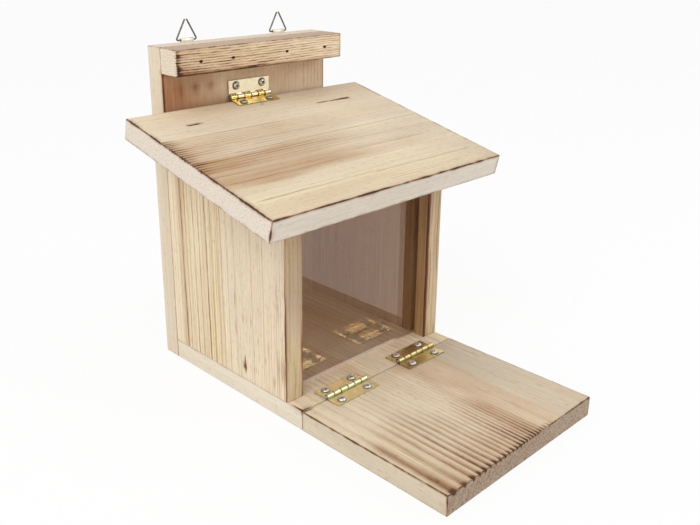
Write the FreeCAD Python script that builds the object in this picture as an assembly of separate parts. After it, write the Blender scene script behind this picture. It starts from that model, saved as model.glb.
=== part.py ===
"""Squirrel feeder box with a hinged roof, a clear window and a drop-down platform.

All lengths are millimetres and all angles are degrees. X runs across the box from left
to right as seen from the front, the front faces -Y and +Z is up. The origin is the middle
of the box's underside, which is the floor board and the back board together.
"""

import FreeCAD
import Part
import math
import os

# Boards of the box
BOX_WIDTH = 150.0
BACK_HEIGHT = 230.0
BACK_THICK = 15.0
SIDE_DEPTH = 125.0
SIDE_THICK = 14.0
FLOOR_THICK = 14.0
ARRIS_RADIUS = 0.6

# Batten along the top of the back board
BATTEN_DEPTH = 19.5
BATTEN_HEIGHT = 18.0

# Roof board, which slopes down to the front
ROOF_THICK = 15.0
ROOF_LENGTH = 151.5
ROOF_OVERHANG = 31.5
ROOF_SLOPE = 13.0
ROOF_BATTEN_GAP = 24.8
ROOF_REAR_GAP = 0.5
ROOF_SEAT_GAP = 0.3

# Platform that folds up in front of the window
PLATFORM_LENGTH = 118.5
PLATFORM_GAP = 0.3

# Window and the grooves that hold it
WINDOW_THICK = 2.5
WINDOW_ARRIS = 0.3
WINDOW_FRONT_CLEARANCE = 2.0
WINDOW_REAR_CLEARANCE = 0.3
WINDOW_EDGE_CLEARANCE = 0.4
WINDOW_TOP_CLEARANCE = 1.0
GROOVE_SETBACK = 9.2
GROOVE_DEPTH = 5.0

# Butt hinges, three alike
HINGE_LENGTH = 38.0
HINGE_REACH = 12.0
HINGE_SHEET = 0.8
HINGE_CORNER_RADIUS = 0.8
KNUCKLES_PER_LEAF = 3
KNUCKLE_RADIUS = 1.7
KNUCKLE_LIFT = 0.2
KNUCKLE_GAP = 0.2
NOTCH_CLEARANCE = 0.4
LEAF_START = 0.6
PIN_RADIUS = 0.85
PIN_CLEARANCE = 0.05
HINGE_SCREW_SPACING = 24.0
HINGE_SCREW_REACH = 7.8
ROOF_HINGE_X = -1.0
PLATFORM_HINGE_INSET = 40.0
LIP_MARGIN = 2.0

# Pan-head screws in the hinges
SCREW_HEAD_RADIUS = 2.8
SCREW_HEAD_HEIGHT = 1.9
SCREW_RIM_HEIGHT = 0.7
SCREW_SHANK_RADIUS = 1.25
SCREW_LENGTH = 10.0
SCREW_TIP_LENGTH = 2.0
CROSS_WIDTH = 0.8
CROSS_LENGTH = 3.2
CROSS_DEPTH = 1.0

# Hanger plates and rings behind the back board's top edge
HANGER_INSET = 33.0
HANGER_SHEET = 0.8
HANGER_WIDTH = 10.0
HANGER_LENGTH = 22.5
HANGER_CORNER_RADIUS = 2.0
RING_WIRE_RADIUS = 0.6
RING_WIRE_CLEARANCE = 0.08
RING_BASE = 17.5
RING_HEIGHT = 14.2
RING_TIP_GAP = 0.4
RING_BEND_RADIUS = 1.0
RING_TOP_CLEARANCE = 0.3
HANGER_FIRST_SCREW = 8.0
HANGER_SCREW_PITCH = 10.0
HANGER_HEAD_RADIUS = 2.1
HANGER_HEAD_HEIGHT = 1.3
HANGER_RIM_HEIGHT = 0.4
HANGER_SHANK_RADIUS = 0.9
HANGER_SCREW_LENGTH = 9.0
HANGER_TIP_LENGTH = 1.6
HANGER_CROSS_WIDTH = 0.6
HANGER_CROSS_LENGTH = 2.4
HANGER_CROSS_DEPTH = 0.7

# Nails, whose flat heads lie just under the surface
NAIL_HEAD_RADIUS = 1.3
NAIL_HEAD_HEIGHT = 0.8
NAIL_SHANK_RADIUS = 0.8
NAIL_SINK = 0.4
NAIL_POINT_LENGTH = 2.0
BATTEN_NAIL_LENGTH = 30.0
BOX_NAIL_LENGTH = 35.0
LEFT_BATTEN_NAILS = (19.5, 46.5)
RIGHT_BATTEN_NAILS = (17.0, 54.5)
SIDE_NAIL_INSET = 28.0
FLOOR_NAIL_SPACING = 70.0

# Room around every screw and nail in the wood, and around a screw in sheet metal
PILOT_CLEARANCE = 0.05
PILOT_END_CLEARANCE = 0.5
SHEET_HOLE_CLEARANCE = 0.2

# Planes and heights that follow from the sizes
FLOOR_LIP = HINGE_REACH + LIP_MARGIN
FLOOR_DEPTH = SIDE_DEPTH + FLOOR_LIP
HALF_WIDTH = BOX_WIDTH / 2
PLATFORM_HINGE_X = HALF_WIDTH - PLATFORM_HINGE_INSET
HANGER_X = HALF_WIDTH - HANGER_INSET
REAR_Y = (BACK_THICK + FLOOR_DEPTH) / 2
BACK_FACE_Y = REAR_Y - BACK_THICK
SIDE_FRONT_Y = BACK_FACE_Y - SIDE_DEPTH
FLOOR_FRONT_Y = BACK_FACE_Y - FLOOR_DEPTH
SIDE_INNER_X = HALF_WIDTH - SIDE_THICK
SIDE_MIDDLE_X = HALF_WIDTH - SIDE_THICK / 2
SLOPE = math.radians(ROOF_SLOPE)
ROOF_REAR_HEIGHT = BACK_HEIGHT - BATTEN_HEIGHT - ROOF_BATTEN_GAP
ROOF_REAR_Y = BACK_FACE_Y - ROOF_REAR_GAP - ROOF_THICK * math.sin(SLOPE)
ROOF_HALF_WIDTH = HALF_WIDTH + ROOF_OVERHANG
PLATFORM_REAR_Y = FLOOR_FRONT_Y - PLATFORM_GAP
GROOVE_WIDTH = WINDOW_FRONT_CLEARANCE + WINDOW_THICK + WINDOW_REAR_CLEARANCE
GROOVE_FRONT_Y = SIDE_FRONT_Y + GROOVE_SETBACK
WINDOW_FRONT_Y = GROOVE_FRONT_Y + WINDOW_FRONT_CLEARANCE
HINGE_RISE = KNUCKLE_RADIUS + KNUCKLE_LIFT
KNUCKLE_COUNT = 2 * KNUCKLES_PER_LEAF
KNUCKLE_PITCH = HINGE_LENGTH / KNUCKLE_COUNT
ROOF_AXIS_Y = BACK_FACE_Y - HINGE_RISE
ROOF_AXIS_RISE = (HINGE_RISE + (ROOF_AXIS_Y - ROOF_REAR_Y) * math.sin(SLOPE)) / math.cos(SLOPE)
ROOF_AXIS_Z = ROOF_REAR_HEIGHT + ROOF_AXIS_RISE
PLATFORM_AXIS_Y = FLOOR_FRONT_Y - PLATFORM_GAP / 2
PLATFORM_AXIS_Z = FLOOR_THICK + HINGE_RISE
RING_BORE_RADIUS = RING_WIRE_RADIUS + RING_WIRE_CLEARANCE
RING_LOOP_RADIUS = RING_BORE_RADIUS + HANGER_SHEET
RING_AXIS_Y = REAR_Y + RING_LOOP_RADIUS
RING_AXIS_Z = BACK_HEIGHT + RING_WIRE_RADIUS + RING_TOP_CLEARANCE
BATTEN_MIDDLE_Z = BACK_HEIGHT - BATTEN_HEIGHT / 2

# Directions
RIGHT = FreeCAD.Vector(1, 0, 0)
FRONT = FreeCAD.Vector(0, -1, 0)
REAR = FreeCAD.Vector(0, 1, 0)
UP = FreeCAD.Vector(0, 0, 1)
DOWN = FreeCAD.Vector(0, 0, -1)
ROOF_NORMAL = FreeCAD.Vector(0, -math.sin(SLOPE), math.cos(SLOPE))
UPRIGHT_TURN = 90.0


def point(x, y, z):
    """Return a point or direction in space."""
    return FreeCAD.Vector(x, y, z)


def plain_box(x_range, y_range, z_range):
    """Return the box that fills three (low, high) ranges."""
    sizes = [high - low for low, high in (x_range, y_range, z_range)]
    return Part.makeBox(*sizes, point(x_range[0], y_range[0], z_range[0]))


def eased(solid, radius):
    """Return the solid with every edge rounded."""
    return solid.makeFillet(radius, solid.Edges)


def board(x_range, y_range, z_range):
    """Return a sawn board with slightly rounded arrises."""
    return eased(plain_box(x_range, y_range, z_range), ARRIS_RADIUS)


def without(solid, cutters):
    """Return the solid with each cutter taken out of it."""
    for cutter in cutters:
        solid = solid.cut(cutter)
    return solid


def joined(solids):
    """Return the solids fused into one."""
    whole = solids[0]
    for solid in solids[1:]:
        whole = whole.fuse(solid)
    return whole.removeSplitter()


def roof_underside_z(y, gap=0.0):
    """Return the height of the plane that lies a gap under the roof's underside at y."""
    drop = (ROOF_THICK + gap) / math.cos(SLOPE)
    return ROOF_REAR_HEIGHT + (y - ROOF_REAR_Y) * math.tan(SLOPE) - drop


def aimed(solid, place, direction):
    """Return a solid built along +Z turned to a direction and moved to a place."""
    turned = solid.copy()
    turned.Placement = FreeCAD.Placement(place, FreeCAD.Rotation(UP, direction))
    return turned


def hinged(solid, x, y, z, turn):
    """Return a solid built around the X axis turned about it and moved to a hinge line."""
    turned = solid.copy()
    turned.Placement = FreeCAD.Placement(point(x, y, z), FreeCAD.Rotation(RIGHT, turn))
    return turned


def pilot_hole(place, direction, radius, depth):
    """Return the hole that goes into a surface against its outward direction."""
    hole_depth = depth + PILOT_END_CLEARANCE
    return Part.makeCylinder(radius + PILOT_CLEARANCE, hole_depth, place, direction * -1)


def turned_profile(corners, dome_corners=None):
    """Return the solid of revolution about Z of (radius, height) corners.

    The corners run from the point up to the rim. With dome corners, a middle and a top,
    an arc leads on to the axis; otherwise the last corner is already on it.
    """
    places = [point(radius, 0, height) for radius, height in corners]
    edges = [Part.LineSegment(a, b).toShape() for a, b in zip(places, places[1:])]
    last = places[-1]
    if dome_corners:
        middle, top = [point(radius, 0, height) for radius, height in dome_corners]
        edges.append(Part.Arc(last, middle, top).toShape())
        last = top
    edges.append(Part.LineSegment(last, places[0]).toShape())
    return Part.Face(Part.Wire(edges)).revolve(point(0, 0, 0), UP, 360)


def pan_screw(head_radius, head_height, rim_height, shank_radius, length, tip_length, cross):
    """Return a pan-head screw whose head sits on z = 0 and whose point looks down.

    The head is a low rim under a dome, and the cross is (width, length, depth).
    """
    crown = head_height - rim_height
    dome_radius = (head_radius ** 2 + crown ** 2) / (2 * crown)
    half_way = head_radius / 2
    half_way_z = head_height - dome_radius + math.sqrt(dome_radius ** 2 - half_way ** 2)
    corners = [
        (0, -length),
        (shank_radius, tip_length - length),
        (shank_radius, 0),
        (head_radius, 0),
        (head_radius, rim_height),
    ]
    screw = turned_profile(corners, [(half_way, half_way_z), (0, head_height)])
    width, reach, depth = cross
    across = (-reach / 2, reach / 2)
    along = (-width / 2, width / 2)
    heights = (head_height - depth, head_height)
    return without(screw, [plain_box(across, along, heights), plain_box(along, across, heights)])


def nail(length):
    """Return a flat-headed nail whose head's top lies at z = 0 and whose point looks down."""
    return turned_profile([
        (0, -length),
        (NAIL_SHANK_RADIUS, NAIL_POINT_LENGTH - length),
        (NAIL_SHANK_RADIUS, -NAIL_HEAD_HEIGHT),
        (NAIL_HEAD_RADIUS, -NAIL_HEAD_HEIGHT),
        (NAIL_HEAD_RADIUS, 0),
        (0, 0),
    ])


def nail_group(places, direction, length):
    """Return nails driven into a surface at places, sunk a little under it."""
    sink = direction * -NAIL_SINK
    return Part.Compound([aimed(nail(length), place + sink, direction) for place in places])


def nail_holes(places, direction, length):
    """Return the shank and head holes of nails driven at places."""
    holes = []
    for place in places:
        holes.append(pilot_hole(place, direction, NAIL_SHANK_RADIUS, length))
        head_depth = NAIL_HEAD_HEIGHT + NAIL_SINK - PILOT_END_CLEARANCE
        holes.append(pilot_hole(place, direction, NAIL_HEAD_RADIUS, head_depth))
    return holes


def batten_nail_places():
    """Return where nails enter the batten's front face, set in from its two ends."""
    left = [-HALF_WIDTH + inset for inset in LEFT_BATTEN_NAILS]
    right = [HALF_WIDTH - inset for inset in RIGHT_BATTEN_NAILS]
    return [point(x, BACK_FACE_Y - BATTEN_DEPTH, BATTEN_MIDDLE_Z) for x in left + right]


def rear_nail_places():
    """Return where nails enter the back board's rear face, over the side and floor boards."""
    top = roof_underside_z(BACK_FACE_Y) - SIDE_NAIL_INSET
    side_places = [
        point(x, REAR_Y, z)
        for x in (-SIDE_MIDDLE_X, SIDE_MIDDLE_X)
        for z in (FLOOR_THICK + SIDE_NAIL_INSET, top)
    ]
    half = FLOOR_NAIL_SPACING / 2
    floor_places = [point(x, REAR_Y, FLOOR_THICK / 2) for x in (-half, half)]
    return side_places + floor_places


def floor_nail_places():
    """Return where nails enter the floor board's underside, below the side boards."""
    return [
        point(x, y, 0)
        for x in (-SIDE_MIDDLE_X, SIDE_MIDDLE_X)
        for y in (SIDE_FRONT_Y + SIDE_NAIL_INSET, BACK_FACE_Y - SIDE_NAIL_INSET)
    ]


def hinge_screw_offsets():
    """Return the two places of a leaf's screws along its hinge line."""
    return (-HINGE_SCREW_SPACING / 2, HINGE_SCREW_SPACING / 2)


def upper_leaf_seats():
    """Return the places on the back board's front face under the upper leaf's screws."""
    z = ROOF_AXIS_Z + HINGE_SCREW_REACH
    return [point(ROOF_HINGE_X + offset, BACK_FACE_Y, z) for offset in hinge_screw_offsets()]


def roof_leaf_seats():
    """Return the places on the roof's top face under the roof leaf's screws."""
    seats = []
    for offset in hinge_screw_offsets():
        x = ROOF_HINGE_X + offset
        y = ROOF_AXIS_Y - HINGE_SCREW_REACH * math.cos(SLOPE)
        z = ROOF_AXIS_Z - HINGE_SCREW_REACH * math.sin(SLOPE)
        seats.append(point(x, y, z) - ROOF_NORMAL * HINGE_RISE)
    return seats


def platform_leaf_seats(x, side):
    """Return the places under the screws of a platform hinge's leaf.

    The hinge is centred at x, and side is +1 on the floor board and -1 on the platform.
    """
    y = PLATFORM_AXIS_Y + side * HINGE_SCREW_REACH
    return [point(x + offset, y, FLOOR_THICK) for offset in hinge_screw_offsets()]


def hinge_screw_holes(seats, direction):
    """Return the pilot holes of a leaf's screws in the wood under it."""
    depth = SCREW_LENGTH - HINGE_SHEET
    return [pilot_hole(seat, direction, SCREW_SHANK_RADIUS, depth) for seat in seats]


def hinge_screws(seats, direction):
    """Return a leaf's screws, whose heads sit on the leaf."""
    cross = (CROSS_WIDTH, CROSS_LENGTH, CROSS_DEPTH)
    screw = pan_screw(SCREW_HEAD_RADIUS, SCREW_HEAD_HEIGHT, SCREW_RIM_HEIGHT,
                      SCREW_SHANK_RADIUS, SCREW_LENGTH, SCREW_TIP_LENGTH, cross)
    top = direction * HINGE_SHEET
    return Part.Compound([aimed(screw, seat + top, direction) for seat in seats])


def hanger_screw_heights():
    """Return the heights of a hanger plate's screws."""
    first = RING_AXIS_Z - HANGER_FIRST_SCREW
    return (first, first - HANGER_SCREW_PITCH)


def hanger_seats(x):
    """Return the places on the rear face under a hanger plate's screws."""
    return [point(x, REAR_Y, z) for z in hanger_screw_heights()]


def back_board():
    """Return the upright board that carries the box, the batten, the roof and the hangers."""
    solid = board((-HALF_WIDTH, HALF_WIDTH), (BACK_FACE_Y, REAR_Y), (0, BACK_HEIGHT))
    batten_depth = BATTEN_NAIL_LENGTH + NAIL_SINK
    holes = nail_holes(rear_nail_places(), REAR, BOX_NAIL_LENGTH + NAIL_SINK)
    holes += nail_holes(batten_nail_places(), FRONT, batten_depth)
    holes += hinge_screw_holes(upper_leaf_seats(), FRONT)
    for x in (-HANGER_X, HANGER_X):
        depth = HANGER_SCREW_LENGTH - HANGER_SHEET
        holes += [pilot_hole(seat, REAR, HANGER_SHANK_RADIUS, depth) for seat in hanger_seats(x)]
    return without(solid, holes)


def top_batten():
    """Return the bar nailed along the top of the back board's front face."""
    y_range = (BACK_FACE_Y - BATTEN_DEPTH, BACK_FACE_Y)
    solid = board((-HALF_WIDTH, HALF_WIDTH), y_range, (BACK_HEIGHT - BATTEN_HEIGHT, BACK_HEIGHT))
    return without(solid, nail_holes(batten_nail_places(), FRONT, BATTEN_NAIL_LENGTH + NAIL_SINK))


def floor_board():
    """Return the board under the sides, which runs on in front of them to the platform."""
    solid = board((-HALF_WIDTH, HALF_WIDTH), (FLOOR_FRONT_Y, BACK_FACE_Y), (0, FLOOR_THICK))
    holes = nail_holes(floor_nail_places(), DOWN, BOX_NAIL_LENGTH + NAIL_SINK)
    holes += nail_holes(rear_nail_places(), REAR, BOX_NAIL_LENGTH + NAIL_SINK)
    for x in (-PLATFORM_HINGE_X, PLATFORM_HINGE_X):
        holes += hinge_screw_holes(platform_leaf_seats(x, 1), UP)
    return without(solid, holes)


def side_board(side):
    """Return a side board with its sloping top and the window's groove, side -1 or +1."""
    outline = [
        point(0, BACK_FACE_Y, FLOOR_THICK),
        point(0, SIDE_FRONT_Y, FLOOR_THICK),
        point(0, SIDE_FRONT_Y, roof_underside_z(SIDE_FRONT_Y, ROOF_SEAT_GAP)),
        point(0, BACK_FACE_Y, roof_underside_z(BACK_FACE_Y, ROOF_SEAT_GAP)),
    ]
    outline = [corner + RIGHT * (side * SIDE_INNER_X) for corner in outline]
    face = Part.Face(Part.makePolygon(outline + outline[:1]))
    solid = eased(face.extrude(RIGHT * (side * SIDE_THICK)), ARRIS_RADIUS)
    groove_x = sorted((side * SIDE_INNER_X, side * (SIDE_INNER_X + GROOVE_DEPTH)))
    groove = plain_box(groove_x, (GROOVE_FRONT_Y, GROOVE_FRONT_Y + GROOVE_WIDTH), (0, BACK_HEIGHT))
    holes = nail_holes(floor_nail_places(), DOWN, BOX_NAIL_LENGTH + NAIL_SINK)
    holes += nail_holes(rear_nail_places(), REAR, BOX_NAIL_LENGTH + NAIL_SINK)
    return without(solid, [groove] + holes)


def roof():
    """Return the sloping roof board."""
    solid = board((-ROOF_HALF_WIDTH, ROOF_HALF_WIDTH), (-ROOF_LENGTH, 0), (-ROOF_THICK, 0))
    solid = hinged(solid, 0, ROOF_REAR_Y, ROOF_REAR_HEIGHT, ROOF_SLOPE)
    return without(solid, hinge_screw_holes(roof_leaf_seats(), ROOF_NORMAL))


def platform():
    """Return the drop-down board in front of the box."""
    y_range = (PLATFORM_REAR_Y - PLATFORM_LENGTH, PLATFORM_REAR_Y)
    solid = board((-HALF_WIDTH, HALF_WIDTH), y_range, (0, FLOOR_THICK))
    holes = []
    for x in (-PLATFORM_HINGE_X, PLATFORM_HINGE_X):
        holes += hinge_screw_holes(platform_leaf_seats(x, -1), UP)
    return without(solid, holes)


def window():
    """Return the clear pane that stands on the floor board between the two grooves."""
    half_width = SIDE_INNER_X + GROOVE_DEPTH - WINDOW_EDGE_CLEARANCE
    top = roof_underside_z(WINDOW_FRONT_Y) - WINDOW_TOP_CLEARANCE
    y_range = (WINDOW_FRONT_Y, WINDOW_FRONT_Y + WINDOW_THICK)
    pane = plain_box((-half_width, half_width), y_range, (FLOOR_THICK, top))
    return eased(pane, WINDOW_ARRIS)


def is_outer_corner(edge, reach):
    """Return whether an edge stands upright at a plate's outer end."""
    return all(abs(corner.Y - reach) < HINGE_CORNER_RADIUS for corner in edge.Vertexes) and (
        abs(edge.Vertexes[0].X - edge.Vertexes[1].X) < HINGE_CORNER_RADIUS)


def hinge_leaf(side):
    """Return a hinge leaf around the X axis, its plate on the +Y or -Y side of it.

    The leaf on the -Y side has the first, third and fifth knuckles from the left, and the
    other leaf has the rest. Each plate is notched where the other leaf's knuckles turn.
    """
    half = HINGE_LENGTH / 2
    sheet = (-HINGE_RISE, HINGE_SHEET - HINGE_RISE)
    reach = sorted((side * LEAF_START, side * HINGE_REACH))
    plate = plain_box((-half, half), reach, sheet)
    corners = [edge for edge in plate.Edges if is_outer_corner(edge, side * HINGE_REACH)]
    plate = plate.makeFillet(HINGE_CORNER_RADIUS, corners)
    notch_depth = sorted((0, side * (KNUCKLE_RADIUS + NOTCH_CLEARANCE)))
    first_own = 0 if side < 0 else 1
    pieces = []
    cutters = []
    for index in range(KNUCKLE_COUNT):
        left = -half + index * KNUCKLE_PITCH
        if index % 2 == first_own:
            start = point(left + KNUCKLE_GAP / 2, 0, 0)
            pieces.append(Part.makeCylinder(KNUCKLE_RADIUS, KNUCKLE_PITCH - KNUCKLE_GAP, start, RIGHT))
        else:
            span = (left - KNUCKLE_GAP / 2, left + KNUCKLE_PITCH + KNUCKLE_GAP / 2)
            cutters.append(plain_box(span, notch_depth, sheet))
    start = point(-half, 0, 0)
    cutters.append(Part.makeCylinder(PIN_RADIUS + PIN_CLEARANCE, HINGE_LENGTH, start, RIGHT))
    hole_radius = SCREW_SHANK_RADIUS + SHEET_HOLE_CLEARANCE
    for offset in hinge_screw_offsets():
        foot = point(offset, side * HINGE_SCREW_REACH, -HINGE_RISE)
        cutters.append(Part.makeCylinder(hole_radius, HINGE_SHEET, foot, UP))
    return without(joined([plate] + pieces), cutters)


def hinge_pin(x, y, z):
    """Return a hinge's pin, centred at a place on its hinge line."""
    return Part.makeCylinder(PIN_RADIUS, HINGE_LENGTH, point(x - HINGE_LENGTH / 2, y, z), RIGHT)


def hanger_plate(x):
    """Return a hanger's strap, flat on the rear face and curled round the ring's base."""
    bottom = RING_AXIS_Z - HANGER_LENGTH
    y_range = (REAR_Y, REAR_Y + HANGER_SHEET)
    half = HANGER_WIDTH / 2
    plate = plain_box((x - half, x + half), y_range, (bottom, RING_AXIS_Z))
    corners = [edge for edge in plate.Edges if edge.BoundBox.ZMax < bottom + HANGER_SHEET
               and edge.BoundBox.XLength < HANGER_SHEET]
    plate = plate.makeFillet(HANGER_CORNER_RADIUS, corners)
    start = point(x - half, RING_AXIS_Y, RING_AXIS_Z)
    curl = Part.makeCylinder(RING_LOOP_RADIUS, HANGER_WIDTH, start, RIGHT)
    cutters = [Part.makeCylinder(RING_BORE_RADIUS, HANGER_WIDTH, start, RIGHT)]
    hole_radius = HANGER_SHANK_RADIUS + SHEET_HOLE_CLEARANCE
    for z in hanger_screw_heights():
        cutters.append(Part.makeCylinder(hole_radius, HANGER_SHEET, point(x, REAR_Y, z), REAR))
    return without(joined([plate, curl]), cutters)


def hanger_ring(x):
    """Return a hanger's wire triangle, standing on its base with its two ends at the top."""
    half_base = RING_BASE / 2
    tip_x = RING_WIRE_RADIUS + RING_TIP_GAP / 2
    corners = [(-tip_x, RING_HEIGHT), (-half_base, 0), (half_base, 0), (tip_x, RING_HEIGHT)]
    places = [point(x + across, RING_AXIS_Y, RING_AXIS_Z + up) for across, up in corners]
    path = Part.Wire(bent_edges(places, RING_BEND_RADIUS))
    heading = places[1] - places[0]
    section = Part.Wire(Part.makeCircle(RING_WIRE_RADIUS, places[0], heading))
    return path.makePipeShell([section], True, False)


def bent_edges(places, radius):
    """Return the lines between places with a tangent arc of one radius at each turn."""
    edges = []
    start = places[0]
    for before, corner, after in zip(places, places[1:], places[2:]):
        arriving = (corner - before).normalize()
        leaving = (after - corner).normalize()
        turn = arriving.getAngle(leaving)
        setback = radius * math.tan(turn / 2)
        inward = (leaving - arriving).normalize()
        centre = corner + inward * (radius / math.cos(turn / 2))
        arc_start = corner - arriving * setback
        arc_end = corner + leaving * setback
        arc_middle = centre - inward * radius
        edges.append(Part.LineSegment(start, arc_start).toShape())
        edges.append(Part.Arc(arc_start, arc_middle, arc_end).toShape())
        start = arc_end
    edges.append(Part.LineSegment(start, places[-1]).toShape())
    return edges


def hanger_screws(x):
    """Return the two screws of a hanger plate."""
    cross = (HANGER_CROSS_WIDTH, HANGER_CROSS_LENGTH, HANGER_CROSS_DEPTH)
    screw = pan_screw(HANGER_HEAD_RADIUS, HANGER_HEAD_HEIGHT, HANGER_RIM_HEIGHT,
                      HANGER_SHANK_RADIUS, HANGER_SCREW_LENGTH, HANGER_TIP_LENGTH, cross)
    top = REAR * HANGER_SHEET
    return Part.Compound([aimed(screw, seat + top, REAR) for seat in hanger_seats(x)])


def roof_hinge_parts():
    """Return the roof hinge's nodes, with one leaf on the back board and one on the roof."""
    line = (ROOF_HINGE_X, ROOF_AXIS_Y, ROOF_AXIS_Z)
    return {
        "roof_hinge_upper_leaf": hinged(hinge_leaf(1), *line, UPRIGHT_TURN),
        "roof_hinge_roof_leaf": hinged(hinge_leaf(-1), *line, ROOF_SLOPE),
        "roof_hinge_pin": hinge_pin(*line),
        "roof_hinge_upper_screws": hinge_screws(upper_leaf_seats(), FRONT),
        "roof_hinge_roof_screws": hinge_screws(roof_leaf_seats(), ROOF_NORMAL),
    }


def platform_hinge_parts(name, x):
    """Return the nodes of a platform hinge centred at x."""
    line = (x, PLATFORM_AXIS_Y, PLATFORM_AXIS_Z)
    return {
        f"{name}_floor_leaf": hinged(hinge_leaf(1), *line, 0),
        f"{name}_platform_leaf": hinged(hinge_leaf(-1), *line, 0),
        f"{name}_pin": hinge_pin(*line),
        f"{name}_floor_screws": hinge_screws(platform_leaf_seats(x, 1), UP),
        f"{name}_platform_screws": hinge_screws(platform_leaf_seats(x, -1), UP),
    }


def hanger_parts(name, x):
    """Return the nodes of a hanger centred at x."""
    return {
        f"{name}_plate": hanger_plate(x),
        f"{name}_ring": hanger_ring(x),
        f"{name}_screws": hanger_screws(x),
    }


def all_parts():
    """Return every node's shape by its name."""
    parts = {
        "back_board": back_board(),
        "top_batten": top_batten(),
        "floor_board": floor_board(),
        "left_side_board": side_board(-1),
        "right_side_board": side_board(1),
        "roof_board": roof(),
        "platform_board": platform(),
        "window_pane": window(),
        "batten_nails": nail_group(batten_nail_places(), FRONT, BATTEN_NAIL_LENGTH),
        "back_board_nails": nail_group(rear_nail_places(), REAR, BOX_NAIL_LENGTH),
        "floor_board_nails": nail_group(floor_nail_places(), DOWN, BOX_NAIL_LENGTH),
    }
    parts.update(roof_hinge_parts())
    parts.update(platform_hinge_parts("left_platform_hinge", -PLATFORM_HINGE_X))
    parts.update(platform_hinge_parts("right_platform_hinge", PLATFORM_HINGE_X))
    parts.update(hanger_parts("left_hanger", -HANGER_X))
    parts.update(hanger_parts("right_hanger", HANGER_X))
    return parts


def main():
    """Write one STEP file for each node."""
    os.makedirs("parts", exist_ok=True)
    for name, shape in all_parts().items():
        shape.exportStep(os.path.join("parts", f"{name}.step"))
        print(name, round(shape.Volume, 1), len(shape.Solids), shape.isValid())


main()
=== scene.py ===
"""Squirrel feeder box in flamed pine, with its window, brass hinges and wire hangers.

Lengths are millimetres and become metres when a mesh is made. X runs across the box from
left to right as seen from the front, the front faces -Y and +Z is up. A board has places of
its own, (u, v, w): u runs along its grain, v across it and w out through its thickness.
"""

import logging
import math
from abc import ABC, abstractmethod
from collections.abc import Sequence
from dataclasses import dataclass, field
from enum import Enum

import bpy
import numpy as np
from mathutils import Matrix, Vector


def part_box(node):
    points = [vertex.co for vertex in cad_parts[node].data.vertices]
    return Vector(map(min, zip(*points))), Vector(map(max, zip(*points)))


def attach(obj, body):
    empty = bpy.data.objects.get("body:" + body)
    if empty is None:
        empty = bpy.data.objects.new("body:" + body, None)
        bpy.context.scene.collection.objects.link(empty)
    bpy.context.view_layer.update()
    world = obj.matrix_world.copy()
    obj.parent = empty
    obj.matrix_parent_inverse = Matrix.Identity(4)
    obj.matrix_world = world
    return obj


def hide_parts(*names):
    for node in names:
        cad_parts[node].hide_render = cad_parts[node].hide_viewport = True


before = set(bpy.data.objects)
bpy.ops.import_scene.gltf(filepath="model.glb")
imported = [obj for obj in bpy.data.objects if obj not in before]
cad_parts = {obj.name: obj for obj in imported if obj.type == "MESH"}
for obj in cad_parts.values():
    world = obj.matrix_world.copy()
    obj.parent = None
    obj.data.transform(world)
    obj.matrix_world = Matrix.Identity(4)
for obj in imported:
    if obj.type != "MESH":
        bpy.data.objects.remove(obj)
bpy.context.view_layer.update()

LOG = logging.getLogger("feeder")
MM = 0.001
Array = np.ndarray
Colour = tuple[float, float, float, float]
Direction = tuple[float, float, float]


class Body(Enum):
    """The bodies that pieces ride on."""

    BOX = "box"
    ROOF = "roof"
    PLATFORM = "platform"
    LEFT_RING = "left_ring"
    RIGHT_RING = "right_ring"


class Slot(Enum):
    """The kinds of material that pieces are made of."""

    WOOD = "flamed_wood"
    CLEAR = "clear_acrylic"
    BRASS = "hinge_brass"
    ZINC = "zinc_steel"
    HANGER = "hanger_brass"


def tone(red: int, green: int, blue: int) -> Colour:
    """Return the scene's linear colour of a display colour.

    Each share s of 255 becomes ((s + 0.055) / 1.055) to the power of 2.4.

    Args:
        red, green, blue: The display values, from 0 to 255.

    Returns:
        The linear colour with an alpha of 1.
    """
    linear = [((value / 255 + 0.055) / 1.055) ** 2.4 for value in (red, green, blue)]
    return (linear[0], linear[1], linear[2], 1.0)


class Term:
    """A shader value whose arithmetic adds Math nodes."""

    def __init__(self, sheet: "Sheet", socket: bpy.types.NodeSocket) -> None:
        """Keep the sheet that the value is on and the socket that gives it."""
        self.sheet = sheet
        self.socket = socket

    def __add__(self, other: "Term | float") -> "Term":
        """Return self + other."""
        return self.sheet.maths("ADD", self, other)

    __radd__ = __add__

    def __sub__(self, other: "Term | float") -> "Term":
        """Return self - other."""
        return self.sheet.maths("SUBTRACT", self, other)

    def __rsub__(self, other: float) -> "Term":
        """Return other - self."""
        return self.sheet.maths("SUBTRACT", other, self)

    def __mul__(self, other: "Term | float") -> "Term":
        """Return self * other."""
        return self.sheet.maths("MULTIPLY", self, other)

    __rmul__ = __mul__

    def __pow__(self, other: float) -> "Term":
        """Return self ** other."""
        return self.sheet.maths("POWER", self, other)

    def fract(self) -> "Term":
        """Return the part past the whole number below."""
        return self.sheet.maths("FRACT", self)

    def clipped(self) -> "Term":
        """Return the value kept between 0 and 1."""
        return self.sheet.node("ShaderNodeClamp", {}, {"Value": self})

    def ramp(self, low: float, high: float) -> "Term":
        """Return a smooth step from 0 at low to 1 at high."""
        settings = {"interpolation_type": "SMOOTHSTEP"}
        return self.sheet.node("ShaderNodeMapRange", settings,
                               {"Value": self, "From Min": low, "From Max": high})


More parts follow.
